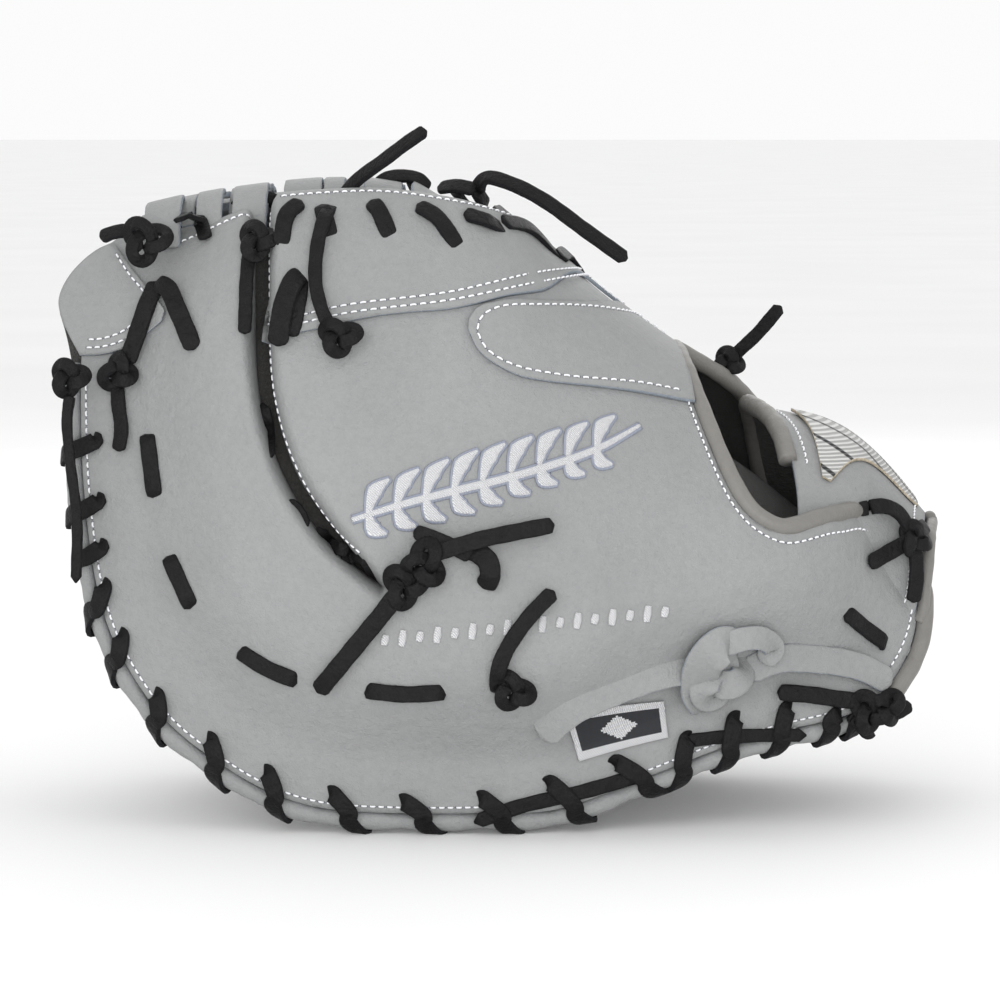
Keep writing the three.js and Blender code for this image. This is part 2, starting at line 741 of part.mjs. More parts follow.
// Palm
const PALM_ROWS = [0, 0.06, 0.15, 0.36, 0.6, 0.82, 1]; // close together in the laced rim
const CROTCH = 0.4; // where the ridge meets the web's edges, as a share of the palm's length
const RIM_END = 0.97;
const palmColumns = [
  ...evenly(6).map((v) => v * CROTCH),
  ...evenly(9)
    .slice(1)
    .map((v) => lerp(CROTCH, RIM_END, v)),
  1,
];
const heelCut = { at: 0.925, turn: Math.PI / 2 };
const palmHeel = (corner, side) => lineOf([corner, { at: 0.94, turn: (Math.PI / 4) * (2 + side) }, heelCut]);
const ridge = lineOf([heelCut, { at: 0.74, turn: Math.PI / 2 }, innerStallTop(1)]);
const palmGrids = [
  patch(PALM_ROWS, palmColumns, {
    top: fingerRim,
    bottom: joined(
      [ridge, CROTCH],
      [reversed(innerStallTop), 0.77],
      [lineOf([slitInner(0), slitOuter(0)]), 0.8],
      [reversed(outerStallTop), 1],
    ),
    start: palmHeel(fingerRim(0), -1),
    end: fingerTip,
  }),
  patch(PALM_ROWS, palmColumns, {
    top: thumbRim,
    bottom: joined([ridge, CROTCH], [reversed(thumbStallTop), 1]),
    start: palmHeel(thumbRim(0), 1),
    end: thumbTip,
  }),
];
const palmLeather = sheet(palmGrids, palmLift, () => 0);

// Finger back: the outer stall, the inner stall and what lies below them
const slitEnd = slitOuter(1);
const fingerOpening = line(FINGER_OPENING, backLift);
const fingerHeel = line(FINGER_HEEL, backLift);
const ridgeSeam = line(SEAM, backLift);
const stallFootOnRim = shareAt(fingerRim, STALL_FOOT_ON_RIM);
const knucklesOnOpening = shareAt(fingerOpening, KNUCKLES_ON_OPENING);
const innerOpening = part(fingerOpening, 0, knucklesOnOpening);
const knuckles = lineOf([slitEnd, placeOf(KNUCKLES, backLift), innerOpening(1)]);
const stallFoot = lineOf([slitEnd, placeOf(STALL_FOOT, backLift), fingerRim(stallFootOnRim)]);
const stallSteps = crowded(4, 0.08, 0.12);
const slitSteps = crowded(7, 0.07);
const innerSteps = crowded(8, 0.035);
const KNUCKLES_SHARE = 0.78;
const backGrids = [
  patch(slitSteps, stallSteps, {
    top: reversed(outerStallTop),
    bottom: stallFoot,
    start: slitOuter,
    end: joined([reversed(fingerTip), 0.16], [reversed(part(fingerRim, stallFootOnRim, 1)), 1]),
  }),
  patch(slitSteps, innerSteps, {
    top: joined([innerStallTop, 0.66], [ridgeSeam, 1]),
    bottom: knuckles,
    start: slitInner,
    end: innerOpening,
  }),
  patch(stallSteps, [...innerSteps.map((v) => v * KNUCKLES_SHARE), 0.85, 0.93, 1], {
    top: joined([knuckles, KNUCKLES_SHARE], [part(fingerOpening, knucklesOnOpening, 1), 1]),
    bottom: reversed(part(fingerRim, 0, stallFootOnRim)),
    start: stallFoot,
    end: fingerHeel,
  }),
];
const fingerLeather = sheet(backGrids, handRoom, backLift);

// Thumb back, which meets the finger back along the ridge
const seamTurn = CLEARANCE / (HALF_WIDTH * 0.85);
const thumbSeam = (share) => ({ at: ridgeSeam(share).at, turn: ridgeSeam(share).turn + seamTurn });
const thumbOpening = lineOf([thumbSeam(1), ...THUMB_OPENING.map((row) => placeOf(row, backLift, true))]);
const thumbHeel = line(FINGER_HEEL, backLift, true);
const thumbGrid = patch(crowded(5, 0.08, 0.06), evenly(18), {
  top: joined([thumbStallTop, 0.42], [thumbSeam, 0.64], [thumbOpening, 1]),
  bottom: reversed(thumbRim),
  start: reversed(thumbTip),
  end: thumbHeel,
});
const thumbLeather = sheet([thumbGrid], handRoom, backLift);

// Rim beads and the laces that whip palm and back together, through a slot for each turn
const middleLift = (closedLift() - PALM_EDGE) / 2;
const laceOutside = closedLift() + 3 * CLEARANCE + LACE_THICKNESS / 2;
const laceInside = -PALM_EDGE - LACE_SLACK - LACE_THICKNESS / 2;
const laceOff = BEAD_PINCHED + 7 * CLEARANCE + LACE_THICKNESS / 2;
const beadSide = (BEAD_WIDTH - BEAD_FLAT) / 2;
const LACE_TURN = [
  { along: 0, off: -HOLE_INSET, lift: middleLift },
  { along: 0.04, off: 0.8 - HOLE_INSET, lift: laceOutside },
  { along: 0.4, off: 1.5, lift: laceOutside + CLEARANCE },
  { along: 0.47, off: laceOff, lift: middleLift + beadSide },
  { along: 0.53, off: laceOff, lift: middleLift - beadSide },
  { along: 0.6, off: 1.5, lift: laceInside - CLEARANCE },
  { along: 0.96, off: 0.8 - HOLE_INSET, lift: laceInside },
];

function rimWork(rim, pitch, side) {
  const turns = Math.round(rim.measured / pitch);
  const shareOf = (turn) => clamp((turn + 0.5) / (turns + 1), 0, 1);
  const station = (turn) => stationOn(rim, shareOf(turn), () => 0, side);
  const holes = evenly(turns).map((_, i) => i);
  const beadHeights = [
    [-0.4, BEAD_HEIGHT],
    ...holes.flatMap((hole) => [
      [hole, BEAD_HEIGHT],
      [hole + 0.5, BEAD_PINCHED],
    ]),
  ].slice(0, -1);
  const bead = bar(
    beadHeights.map(([turn, height]) =>
      ringAt(station(turn), 3 * CLEARANCE + height / 2, middleLift, height, BEAD_WIDTH),
    ),
  );
  const path = holes.flatMap((hole) =>
    (hole < turns ? LACE_TURN : LACE_TURN.slice(0, 1)).map(({ along, off, lift }) => {
      const here = station(hole + along);
      return { point: moved(here, off, lift), forward: here.forward };
    }),
  );
  const rings = path.map(({ point, forward }, i) => {
    const next = path[Math.min(i + 1, path.length - 1)].point;
    const run = next.clone().sub(path[Math.max(i - 1, 0)].point).normalize();
    const across = forward.clone().addScaledVector(run, -forward.dot(run)).normalize();
    const out = new THREE.Vector3().crossVectors(across, run);
    return rectangle(point, across, out, LACE_WIDTH, LACE_THICKNESS);
  });
  const slots = holes.map((hole) => {
    const here = station(hole);
    const [width, height] = [LACE_WIDTH + 2 * HOLE_CLEARANCE, LACE_THICKNESS + 3 * HOLE_CLEARANCE];
    const past = LACE_THICKNESS + PALM_THICKNESS;
    return bar(
      [middleLift - past, middleLift + past].map((lift) =>
        rectangle(moved(here, -HOLE_INSET, lift), here.forward, here.off, width, height),
      ),
    );
  });
  return { bead: onFloor(bead), lace: onFloor(bar(rings)), slots };
}
function rectangle(centre, across, out, width, height) {
  return [
    [-1, -1],
    [1, -1],
    [1, 1],
    [-1, 1],
  ].map(([a, o]) =>
    centre
      .clone()
      .addScaledVector(across, (a * width) / 2)
      .addScaledVector(out, (o * height) / 2),
  );
}
const fingerWork = rimWork(fingerRim, LACE_PITCH.finger, 1);
const thumbWork = rimWork(thumbRim, LACE_PITCH.thumb, -1);
const slotted = (solid, slots) => slots.reduce((left, slot) => left.subtract(slot), solid);
const palm = add("palm", slotted(palmLeather, [...fingerWork.slots, ...thumbWork.slots]), greyLeather);
const fingerBack = add("finger_back", slotted(fingerLeather, fingerWork.slots), greyLeather);
const thumbBack = add("thumb_back", slotted(thumbLeather, thumbWork.slots), greyLeather);
add("finger_rim_bead", fingerWork.bead, greyLeather);
add("thumb_rim_bead", thumbWork.bead, greyLeather);
add("finger_rim_lace", fingerWork.lace, blackRawhide);
add("thumb_rim_lace", thumbWork.lace, blackRawhide);

// Rolled bindings of the hand opening, along the back leather's edges down to the rim
function roll(places, liftOf, side, lift) {
  const points = places.map((place) => pointAt(place, liftOf(place)));
  const off = 2 * CLEARANCE + ROLL_DIAMETER / 2;
  const rings = places.map((place, i) => {
    const [before, after] = [points[Math.max(i - 1, 0)], points[Math.min(i + 1, points.length - 1)]];
    const station = stationAt(place, liftOf(place), before, after, side, normalAt(place));
    return ringAt(station, off, lift, ROLL_DIAMETER, ROLL_DIAMETER);
  });
  return bar(rings);
}
const lastColumn = (grid) => grid.map((row) => row.at(-1));
const fingerEdge = [
  ...lastColumn(backGrids[1]).filter((_, i) => i > 2),
  ...backGrids[2][0].slice(-3),
  ...lastColumn(backGrids[2]).slice(1, -1),
];
const thumbEdge = [...thumbGrid[0].slice(-6), ...lastColumn(thumbGrid).slice(1, -1)];
add("finger_opening_binding", roll(fingerEdge, handRoom, 1, BACK_LEATHER), bindingLeather);
add("thumb_opening_binding", roll(thumbEdge, handRoom, -1, BACK_LEATHER), bindingLeather);

// Wrist strap, its rolled front edge and its label
const strapBow = ({ at, turn }) => {
  const aside = Math.abs(turn - Math.PI / 2);
  const along = smoothstep(at, BOW_FROM, BOW_FULL) * (1 - smoothstep(at, BOW_FULL, 1));
  return STRAP_BOW * along * (1 - smoothstep(aside, BOW_ANGLES.full, BOW_ANGLES.none));
};
const strapUnder = (place) =>
  Math.max(handRoom(place) - STRAP_DROP - STRAP_THICKNESS, 3 * CLEARANCE) + strapBow(place);
const strapTop = (place) => strapUnder(place) + STRAP_THICKNESS;
const bandGrid = (rows, steps) =>
  rows.map(({ degrees, front, back }) =>
    evenly(steps).map((share) => ({ at: lerp(front, back, share), turn: degToRad(degrees) })),
  );
const strapGrid = bandGrid(STRAP, 4);
const strapFront = strapGrid.slice(2, 6).map(([front]) => front);
add("wrist_strap", sheet([strapGrid], strapUnder, strapTop), greyLeather);
add("strap_binding", roll(strapFront, strapUnder, 1, STRAP_THICKNESS / 2), bindingLeather);
const labelTop = (place) => strapTop(place) + 2 * CLEARANCE + LABEL_THICKNESS;
const label = sheet([bandGrid(LABEL, 3)], strapTop, labelTop);
const strapSwollen = sheet([strapGrid], strapUnder, (place) => strapTop(place) + CLEARANCE);
add("strap_label", label.subtract(strapSwollen), wovenLabel);

// Web: cross bars from stall to stall over a post along the middle
const webUnder = () => CLEARANCE;
const webTop = () => CLEARANCE + WEB_LEATHER;
const fingerStallTop = joined([outerStallTop, 0.3], [innerStallTop, 1]);
const webGap = (2 * CLEARANCE) / HALF_WIDTH;
for (const { name, from, to } of WEB_BARS) {
  const grid = evenly(2).map((share) => {
    const at = lerp(from, to, share);
    const first = fingerStallTop(shareAt(fingerStallTop, at)).turn + webGap;
    const last = thumbStallTop(shareAt(thumbStallTop, at)).turn - webGap;
    return evenly(4).map((v) => ({ at, turn: lerp(first, last, v) }));
  });
  add(name, sheet([grid], webUnder, webTop), greyLeather);
}
const postTurn = Math.asin(WEB_POST.halfWidth);
const postGrid = evenly(8).map((share) =>
  evenly(2).map((v) => ({
    at: lerp(WEB_POST.from, WEB_POST.to, share),
    turn: Math.PI / 2 + lerp(-postTurn, postTurn, v),
  })),
);
add("web_post", sheet([postGrid], () => -CLEARANCE - WEB_LEATHER, () => -CLEARANCE), greyLeather);

// How high the pieces made so far reach under a point, as a lift along that normal.
const RAY_START = 70;
const caster = new THREE.Raycaster();
function reachUnder(point, normal) {
  caster.set(point.clone().addScaledVector(normal, RAY_START), normal.clone().negate());
  const hit = caster.intersectObjects(mitt.children, false)[0];
  return hit && hit.distance < RAY_START + PALM_THICKNESS ? RAY_START - hit.distance : -Infinity;
}
function highestUnder(point, normal, forward, across, length, width) {
  const offsets = [-1, -0.5, 0, 0.5, 1];
  const rays = offsets.flatMap((a) =>
    offsets.map((b) =>
      reachUnder(
        point.clone().addScaledVector(forward, (a * length) / 2).addScaledVector(across, (b * width) / 2),
        normal,
      ),
    ),
  );
  return Math.max(...rays);
}

// A strip laid taut over what lies under a line of places. It bridges hollows and doesn't dip into them.
function layStrip(along, width, thickness, startUnder) {
  const steps = Math.max(3, Math.round(along.measured / STRIP_STEP));
  const stations = evenly(steps).map((share) => {
    const station = stationOn(along, share, () => 0, 1);
    const { centre, normal, forward, off } = station;
    const under = highestUnder(centre, normal, forward, off, STRIP_STEP, width);
    return { ...station, under, above: along(share).above * HEIGHT };
  });
  stations[0].under = startUnder ?? stations[0].under;
  for (let pass = 0; pass < stations.length; pass += 1) {
    stations.slice(1, -1).forEach((station, i) => {
      station.under = Math.max(station.under, (stations[i].under + stations[i + 2].under) / 2);
    });
  }
  stations.forEach((station, i) => {
    if (station.under === -Infinity) station.under = stations[Math.max(i - 1, 0)].under;
  });
  return bar(
    stations.map((station, i) => {
      const bend = Math.max(
        ...[i - 1, i + 1].map((j) => station.normal.angleTo((stations[j] ?? station).normal)),
      );
      const lift = station.under + station.above + 1.5 * CLEARANCE + (STRIP_STEP * bend) / 6 + thickness / 2;
      return rectangle(moved(station, 0, lift), station.off, station.normal, width, thickness);
    }),
  );
}
// A tight knot: a pebble of rings laid over each other, the middle one the widest.
const KNOT_RINGS = [
  { height: 0, spread: 0.75 },
  { height: 0.4, spread: 1 },
  { height: 0.8, spread: 0.8 },
  { height: 1, spread: 0.4 },
];
function knotAt({ centre, normal, forward, off }, under, size, height) {
  const sides = 8;
  const rings = KNOT_RINGS.map((ring) =>
    Array.from({ length: sides }, (_, i) => {
      const angle = (i * 2 * Math.PI) / sides;
      return centre
        .clone()
        .addScaledVector(forward, (Math.cos(angle) * ring.spread * size) / 2)
        .addScaledVector(off, (Math.sin(angle) * ring.spread * size * KNOT_OVAL) / 2)
        .addScaledVector(normal, under + CLEARANCE + ring.height * height);
    }),
  );
  return bar(rings);
}
function addLaces({ name, knot, runs, thumbSide }, width, thickness, size, height, look) {
  const lines = runs.map((run) => line(knot ? [knot, ...run] : run, backLift, thumbSide));
  const start = stationOn(lines[0], 0, () => 0, 1);
  const under = Math.max(
    ...[size, width].map((spread) =>
      highestUnder(start.centre, start.normal, start.forward, start.off, spread, spread),
    ),
  );
  const strips = lines.map((along) => layStrip(along, width, thickness, knot ? under : undefined));
  const solids = knot ? [knotAt(start, under, size, height), ...strips] : strips;
  add(name, solids.reduce((all, solid) => all.add(solid)), look);
}

// Overlays and the patch, sewn flat on the leather
const restingLift = (place) => {
  const point = pointAt(place);
  const spread = 2 * BACK_LEATHER;
  const [forward, across] = [new THREE.Vector3(1, 0, 0), new THREE.Vector3(0, 0, 1)];
  return highestUnder(point, normalAt(place), forward, across, spread, 0);
};
const swollen = (grids) => sheet(grids, handRoom, (place) => backLift(place) + CLEARANCE);
const leatherUnder = swollen(backGrids).add(swollen([thumbGrid]));
function addOverlay({ name, first, last, thumbSide }, rows, columns, thickness, look) {
  const grid = between(rows, columns, line(first, backLift, thumbSide), line(last, backLift, thumbSide));
  const lifts = new Map(grid.flat().map((place) => [place, restingLift(place) + CLEARANCE]));
  const under = (place) => lifts.get(place) - thickness;
  const over = (place) => lifts.get(place) + thickness;
  add(name, sheet([grid], under, over).subtract(leatherUnder), look);
}
const indexCap = [backGrids[1].slice(1, 4).map((row) => row.slice(1, -2))];
const capUnder = (place) => backLift(place) + CLEARANCE;
add("index_cap", sheet(indexCap, capUnder, (place) => capUnder(place) + OVERLAY_LEATHER), greyLeather);
const OVERLAY_ROWS = [0, 0.1, 0.25, 0.5, 1]; // close together where the leather rolls down
for (const overlay of OVERLAYS) addOverlay(overlay, OVERLAY_ROWS, evenly(8), OVERLAY_LEATHER, greyLeather);
addOverlay({ name: "patch", ...PATCH }, evenly(2), evenly(3), PATCH_THICKNESS, embroidery);

// Web laces, in waves from holes in a stall over its top edge to the web
function webLace(name, stallTop, from, to, side) {
  const waves = Math.round(((to - from) * LENGTH) / WEB_LACE_PITCH);
  const reach = WEB_LACE_REACH / GIRTH;
  const places = evenly(waves * 4).map((share) => {
    const at = lerp(from, to, share);
    const wave = Math.cos(share * waves * 2 * Math.PI);
    return { at, turn: stallTop(shareAt(stallTop, at)).turn - side * reach * (0.25 + 0.75 * wave) };
  });
  add(name, layStrip(lineOf(places), LACE_WIDTH, LACE_THICKNESS), blackRawhide);
}
webLace("finger_web_lace", innerStallTop, 0.35, 0.5, 1);
webLace("thumb_web_lace", thumbStallTop, 0.2, 0.5, -1);

for (const lace of LACES) addLaces(lace, LACE_WIDTH, LACE_THICKNESS, KNOT_SIZE, KNOT_HEIGHT, blackRawhide);
addLaces(TIE, TIE_WIDTH, OVERLAY_LEATHER, TIE_KNOT_SIZE, TIE_KNOT_HEIGHT, greyLeather);

// The origin is under the middle of the mitt, on the floor.
const size = new THREE.Box3().setFromObject(mitt);
mitt.position.set(-(size.min.x + size.max.x) / 2, -(size.min.y + size.max.y) / 2, -size.min.z);

export default mitt;
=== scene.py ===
import math
import random

import bpy
import numpy as np
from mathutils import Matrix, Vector
from mathutils.bvhtree import BVHTree


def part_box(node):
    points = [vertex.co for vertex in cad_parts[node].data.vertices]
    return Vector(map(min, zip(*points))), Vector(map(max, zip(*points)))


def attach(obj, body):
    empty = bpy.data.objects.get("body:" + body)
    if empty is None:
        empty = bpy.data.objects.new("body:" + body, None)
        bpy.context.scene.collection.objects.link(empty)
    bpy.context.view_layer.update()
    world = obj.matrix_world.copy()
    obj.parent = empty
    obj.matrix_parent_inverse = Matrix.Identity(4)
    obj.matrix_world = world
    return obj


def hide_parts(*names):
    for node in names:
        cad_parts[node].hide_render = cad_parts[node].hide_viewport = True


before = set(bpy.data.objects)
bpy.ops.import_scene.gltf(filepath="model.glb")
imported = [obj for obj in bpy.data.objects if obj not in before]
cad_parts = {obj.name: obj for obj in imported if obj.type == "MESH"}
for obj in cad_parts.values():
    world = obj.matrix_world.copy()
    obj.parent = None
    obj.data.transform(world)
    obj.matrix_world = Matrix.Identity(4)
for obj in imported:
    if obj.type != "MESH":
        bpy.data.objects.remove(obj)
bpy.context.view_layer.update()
scene = bpy.context.scene

# Camera
# A long lens stands in front of the little-finger side, a little above the mitt, as in the photo.
# It frames a third of a metre at the near side of the mitt.
CAMERA_DISTANCE = 1.3
CAMERA_RISE = math.radians(5.5)
FIELD = 0.3335
target = Vector((0.0, -0.061, 0.1125))
camera_data = bpy.data.cameras.new("camera")
camera_data.sensor_width = 36
camera_data.lens = 36 * CAMERA_DISTANCE / FIELD
camera = bpy.data.objects.new("camera", camera_data)
camera.location = target + CAMERA_DISTANCE * Vector((0, -math.cos(CAMERA_RISE), math.sin(CAMERA_RISE)))
camera.rotation_euler = (math.pi / 2 - CAMERA_RISE, 0, 0)
scene.collection.objects.link(camera)
scene.camera = camera

# Floor and light
# The mitt stands on a plain pale sweep under large soft lights, as in a shop's product photo.
scene.view_settings.view_transform = "Standard"
world = bpy.data.worlds.new("studio")
world.use_nodes = True
world.node_tree.nodes["Background"].inputs["Color"].default_value = (1.0, 1.0, 1.0, 1.0)
world.node_tree.nodes["Background"].inputs["Strength"].default_value = 0.97
scene.world = world
floor_mesh = bpy.data.meshes.new("floor")
FLOOR_REACH = 60.0
floor_mesh.from_pydata(
    [(x * FLOOR_REACH, y * FLOOR_REACH, 0) for x, y in ((-1, -1), (1, -1), (1, 1), (-1, 1))], [], [
        (0, 1, 2, 3)
    ]
)
floor = bpy.data.objects.new("floor", floor_mesh)
scene.collection.objects.link(floor)


def light(name, place, aim, size, power):
    """A soft square light at a place, turned to what it lights."""
    data = bpy.data.lights.new(name, "AREA")
    data.size = size
    data.energy = power
    lamp = bpy.data.objects.new(name, data)
    lamp.location = place
    lamp.rotation_euler = (Vector(aim) - Vector(place)).to_track_quat("-Z", "Y").to_euler()
    scene.collection.objects.link(lamp)


light("key", (-0.5, -1.3, 0.6), (0, 0, 0.1), 1.0, 4)
light("low", (0.1, -1.3, 0.1), (0, 0, 0.0), 0.6, 8)
light("top", (0.0, 0.2, 1.4), (0, 0, 0.1), 0.9, 1.0)
light("rear", (0.2, 1.3, 0.9), (0, 0, 0.1), 1.0, 3)


def new_material(name, roughness, **sockets):
    """A material with its shader, and the sockets that are the same all over."""
    material = bpy.data.materials.new(name)
    material.use_nodes = True
    shader = material.node_tree.nodes["Principled BSDF"]
    shader.inputs["Roughness"].default_value = roughness
    for socket, value in sockets.items():
        shader.inputs[socket.replace("_", " ")].default_value = value
    return material, shader


def textured(material, kind, scale, **settings):
    """A texture node in the object's own coordinates."""
    tree = material.node_tree
    place = tree.nodes.get("place") or tree.nodes.new("ShaderNodeTexCoord")
    place.name = "place"
    node = tree.nodes.new(kind)
    tree.links.new(place.outputs["Object"], node.inputs["Vector"])
    node.inputs["Scale"].default_value = scale
    for socket, value in settings.items():
        node.inputs[socket].default_value = value
    return node


def coloured(material, source, stops):
    """A ramp from a texture to colours, as (place, grey or colour) stops."""
    tree = material.node_tree
    ramp = tree.nodes.new("ShaderNodeValToRGB")
    elements = ramp.color_ramp.elements
    while len(elements) < len(stops):
        elements.new(0.5)
    for element, (place, colour) in zip(elements, stops):
        element.position = place
        element.color = (*colour, 1)
    tree.links.new(source, ramp.inputs["Fac"])
    return ramp.outputs["Color"]


def mixed(material, factor, a, b, blend="MIX"):
    """Two colours mixed by a factor, each given as a link or a value."""
    tree = material.node_tree
    node = tree.nodes.new("ShaderNodeMix")
    node.data_type = "RGBA"
    node.blend_type = blend
    for socket, value in ((node.inputs[0], factor), (node.inputs[6], a), (node.inputs[7], b)):
        if isinstance(value, bpy.types.NodeSocket):
            tree.links.new(value, socket)
        elif isinstance(value, tuple):
            socket.default_value = (*value, 1)
        else:
            socket.default_value = value
    return node.outputs[2]


def bumped(material, shader, heights):
    """Bumps one over another, as (height, depth in metres) pairs."""
    tree = material.node_tree
    normal = None
    for height, depth in heights:
        bump = tree.nodes.new("ShaderNodeBump")
        bump.inputs["Distance"].default_value = depth
        tree.links.new(height, bump.inputs["Height"])
        if normal:
            tree.links.new(normal, bump.inputs["Normal"])
        normal = bump.outputs["Normal"]
    tree.links.new(normal, shader.inputs["Normal"])


def linear(red, green, blue):
    """A colour as a picture shows it, from 0 to 255, as the renderer counts it."""
    return tuple(
        (((c / 255) + 0.055) / 1.055) ** 2.4 if c > 10 else c / 255 / 12.92 for c in (red, green, blue)
    )


floor_material, floor_shader = new_material("pale_floor", 0.9)
floor_grain = textured(floor_material, "ShaderNodeTexNoise", 3)
floor_material.node_tree.links.new(
    coloured(
        floor_material, floor_grain.outputs["Fac"], ((0.3, (0.9, 0.9, 0.9)), (0.7, (0.93, 0.93, 0.93)))
    ),
    floor_shader.inputs["Base Color"],
)
floor_mesh.materials.append(floor_material)

# Back of the fingers
# Smooth grey hide over the fingers, in two stalls with a long slit between them. It is laced to the palm
# along its rim, and rolls down to it at the stalls' tops and in the slit. All lengths are millimetres.
LENGTH = 300
HEIGHT = 210
HALF_WIDTH = 66
HAND_ROOM = 24
BACK_LEATHER = 2.2
CLOSED_ROOM = 1.2
LACED_EDGE = 12
RIM_ROUNDING = 40
STALL_ROUNDING = 9
SLIT_ROUNDING = 4.5
STALL_STEP = 3.5
ARCH_POWER = 2.6
GIRTH = (HALF_WIDTH + HEIGHT) / (math.pi / 2)
RIGHT = math.pi / 2

# The arch's sections: share of LENGTH, ridge as a share of HEIGHT, half widths as shares of HALF_WIDTH
# on the finger and the thumb side, and the hand's room as a share of HAND_ROOM.
SECTIONS = np.array(
    [
        (0.0, 0.94, 0.7, 0.66, 0.3),
        (0.1, 0.985, 0.84, 0.78, 0.42),
        (0.22, 1.015, 0.94, 0.9, 0.56),
        (0.34, 1.025, 0.99, 0.97, 0.66),
        (0.42, 1.0, 1.0, 1.0, 0.76),
        (0.5, 0.915, 1.0, 1.0, 0.84),
        (0.57, 0.8, 0.97, 0.98, 0.9),
        (0.7, 0.645, 0.88, 0.9, 1.0),
        (0.8, 0.55, 0.8, 0.82, 1.14),
        (0.9, 0.43, 0.72, 0.74, 1.25),
        (1.0, 0.29, 0.64, 0.66, 0.9),
    ]
)
RIDGE, FINGER, THUMB, ROOM = 1, 2, 3, 4

# The middle web post of the frame gives the place of the arch's middle in the frame.
post_low, post_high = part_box("web_post")
WEB_POST = (0.09, 0.475)
SHIFT = np.array(
    [
        1000 * (post_low[0] + post_high[0]) / 2 - (sum(WEB_POST) / 2 - 0.5) * LENGTH,
        500 * (post_low[1] + post_high[1]),
        0,
    ]
)


def section(column, at):
    """A column of SECTIONS along the length, on a smooth curve through its rows."""
    ats, values = SECTIONS[:, 0], SECTIONS[:, column]
    before = np.maximum(np.arange(len(ats)) - 1, 0)
    after = np.minimum(np.arange(len(ats)) + 1, len(ats) - 1)
    slopes = (values[after] - values[before]) / (ats[after] - ats[before])
    row = np.clip(np.searchsorted(ats, at) - 1, 0, len(ats) - 2)
    span = ats[row + 1] - ats[row]
    t = np.clip((at - ats[row]) / span, 0, 1)
    rise = values[row + 1] - values[row]
    a = slopes[row] * span - rise
    b = rise - slopes[row + 1] * span
    return values[row] + rise * t + t * (1 - t) * (a * (1 - t) + b * t)


def arch(places, lift=0.0):
    """Points of places (share of the length, angle round the arch), lifted off the palm leather."""
    at, turn = places[..., 0], places[..., 1]
    across, up = np.abs(np.cos(turn)), np.maximum(np.sin(turn), 0)
    reach = (across**ARCH_POWER + up**ARCH_POWER) ** (-1 / ARCH_POWER)
    across, up = across * reach, up * reach
    side = np.where(turn < RIGHT, -1.0, 1.0)
    half = HALF_WIDTH * np.where(side < 0, section(FINGER, at), section(THUMB, at))
    ridge = HEIGHT * section(RIDGE, at)
    y, z = side * across ** (ARCH_POWER - 1) / half, up ** (ARCH_POWER - 1) / ridge
    size = np.hypot(y, z)
    points = [(at - 0.5) * LENGTH, side * half * across + y / size * lift, ridge * up + z / size * lift]
    return np.stack(points, -1) + SHIFT


def ways(places, lift=0.0):
    """How a point moves with each of its place's two numbers, and the way out of the leather there."""
    small = 1e-4
    ahead = (arch(places + (small, 0), lift) - arch(places - (small, 0), lift)) / (2 * small)
    over = (arch(places + (0, small), lift) - arch(places - (0, small), lift)) / (2 * small)
    out = np.cross(ahead, over)
    return ahead, over, out / np.linalg.norm(out, axis=-1, keepdims=True)


def place_of(row, lift_of, thumb=False):
    """The place of a table's row, given by its height (up) or its distance from the middle (aside)."""
    at, up, aside = row
    low, high = 0.001, RIGHT
    for _ in range(30):
        middle = (low + high) / 2
        place = np.array([[at, math.pi - middle if thumb else middle]])
        if up is None:
            below = abs(arch(place)[0, 1] - SHIFT[1]) > abs(aside) * HALF_WIDTH
        else:
            below = arch(place, lift_of(place))[0, 2] < up * HEIGHT
        low, high = (middle, high) if below else (low, middle)
    turn = math.pi - low if thumb != (aside is not None and aside < 0) else low
    return np.array([at, turn])


def smooth_curve(points, dense=24):
    """A smooth curve through points, as many short steps."""
    points = np.asarray(points, float)
    points = np.vstack([2 * points[0] - points[1], points, 2 * points[-1] - points[-2]])
    steps = []
    for p0, p1, p2, p3 in zip(points, points[1:], points[2:], points[3:]):
        d0, d1, d2 = (max(np.linalg.norm(b - a) ** 0.5, 1e-6) for a, b in ((p0, p1), (p1, p2), (p2, p3)))
        t1 = ((p1 - p0) / d0 - (p2 - p0) / (d0 + d1) + (p2 - p1) / d1) * d1
        t2 = ((p2 - p1) / d1 - (p3 - p1) / (d1 + d2) + (p3 - p2) / d2) * d1
        t = np.linspace(0, 1, dense, endpoint=False)[:, None]
        steps.append(p1 + t1 * t + (3 * (p2 - p1) - 2 * t1 - t2) * t**2 + (2 * (p1 - p2) + t1 + t2) * t**3)
    return np.vstack([*steps, points[-2]])


def reached_along(points):
    """How far along a chain of points each one is."""
    return np.concatenate([[0], np.cumsum(np.linalg.norm(np.diff(points, axis=0), axis=1))])


class Line:
    """A line of places over the arch, read by the share of its length."""

    def __init__(self, places):
        self.path = smooth_curve(np.asarray(places) * (LENGTH, GIRTH))
        self.reached = reached_along(self.path)

    def __call__(self, share):
        s = np.clip(share, 0, 1) * self.reached[-1]
        at, turn = (np.interp(s, self.reached, self.path[:, i]) for i in (0, 1))
        return np.stack([at / LENGTH, turn / GIRTH], -1)

    def share_at(self, at):
        """The share at which the line reaches a share of the length."""
        order = np.argsort(self.path[:, 0], kind="stable")
        return np.interp(at * LENGTH, self.path[order, 0], self.reached[order]) / self.reached[-1]


def line(rows, lift_of, thumb=False):
    return Line([place_of(row, lift_of, thumb) for row in rows])


def reverse(along):
    return lambda share: along(1 - np.asarray(share))


def part(along, start, end):
    return lambda share: along(start + (end - start) * np.asarray(share))


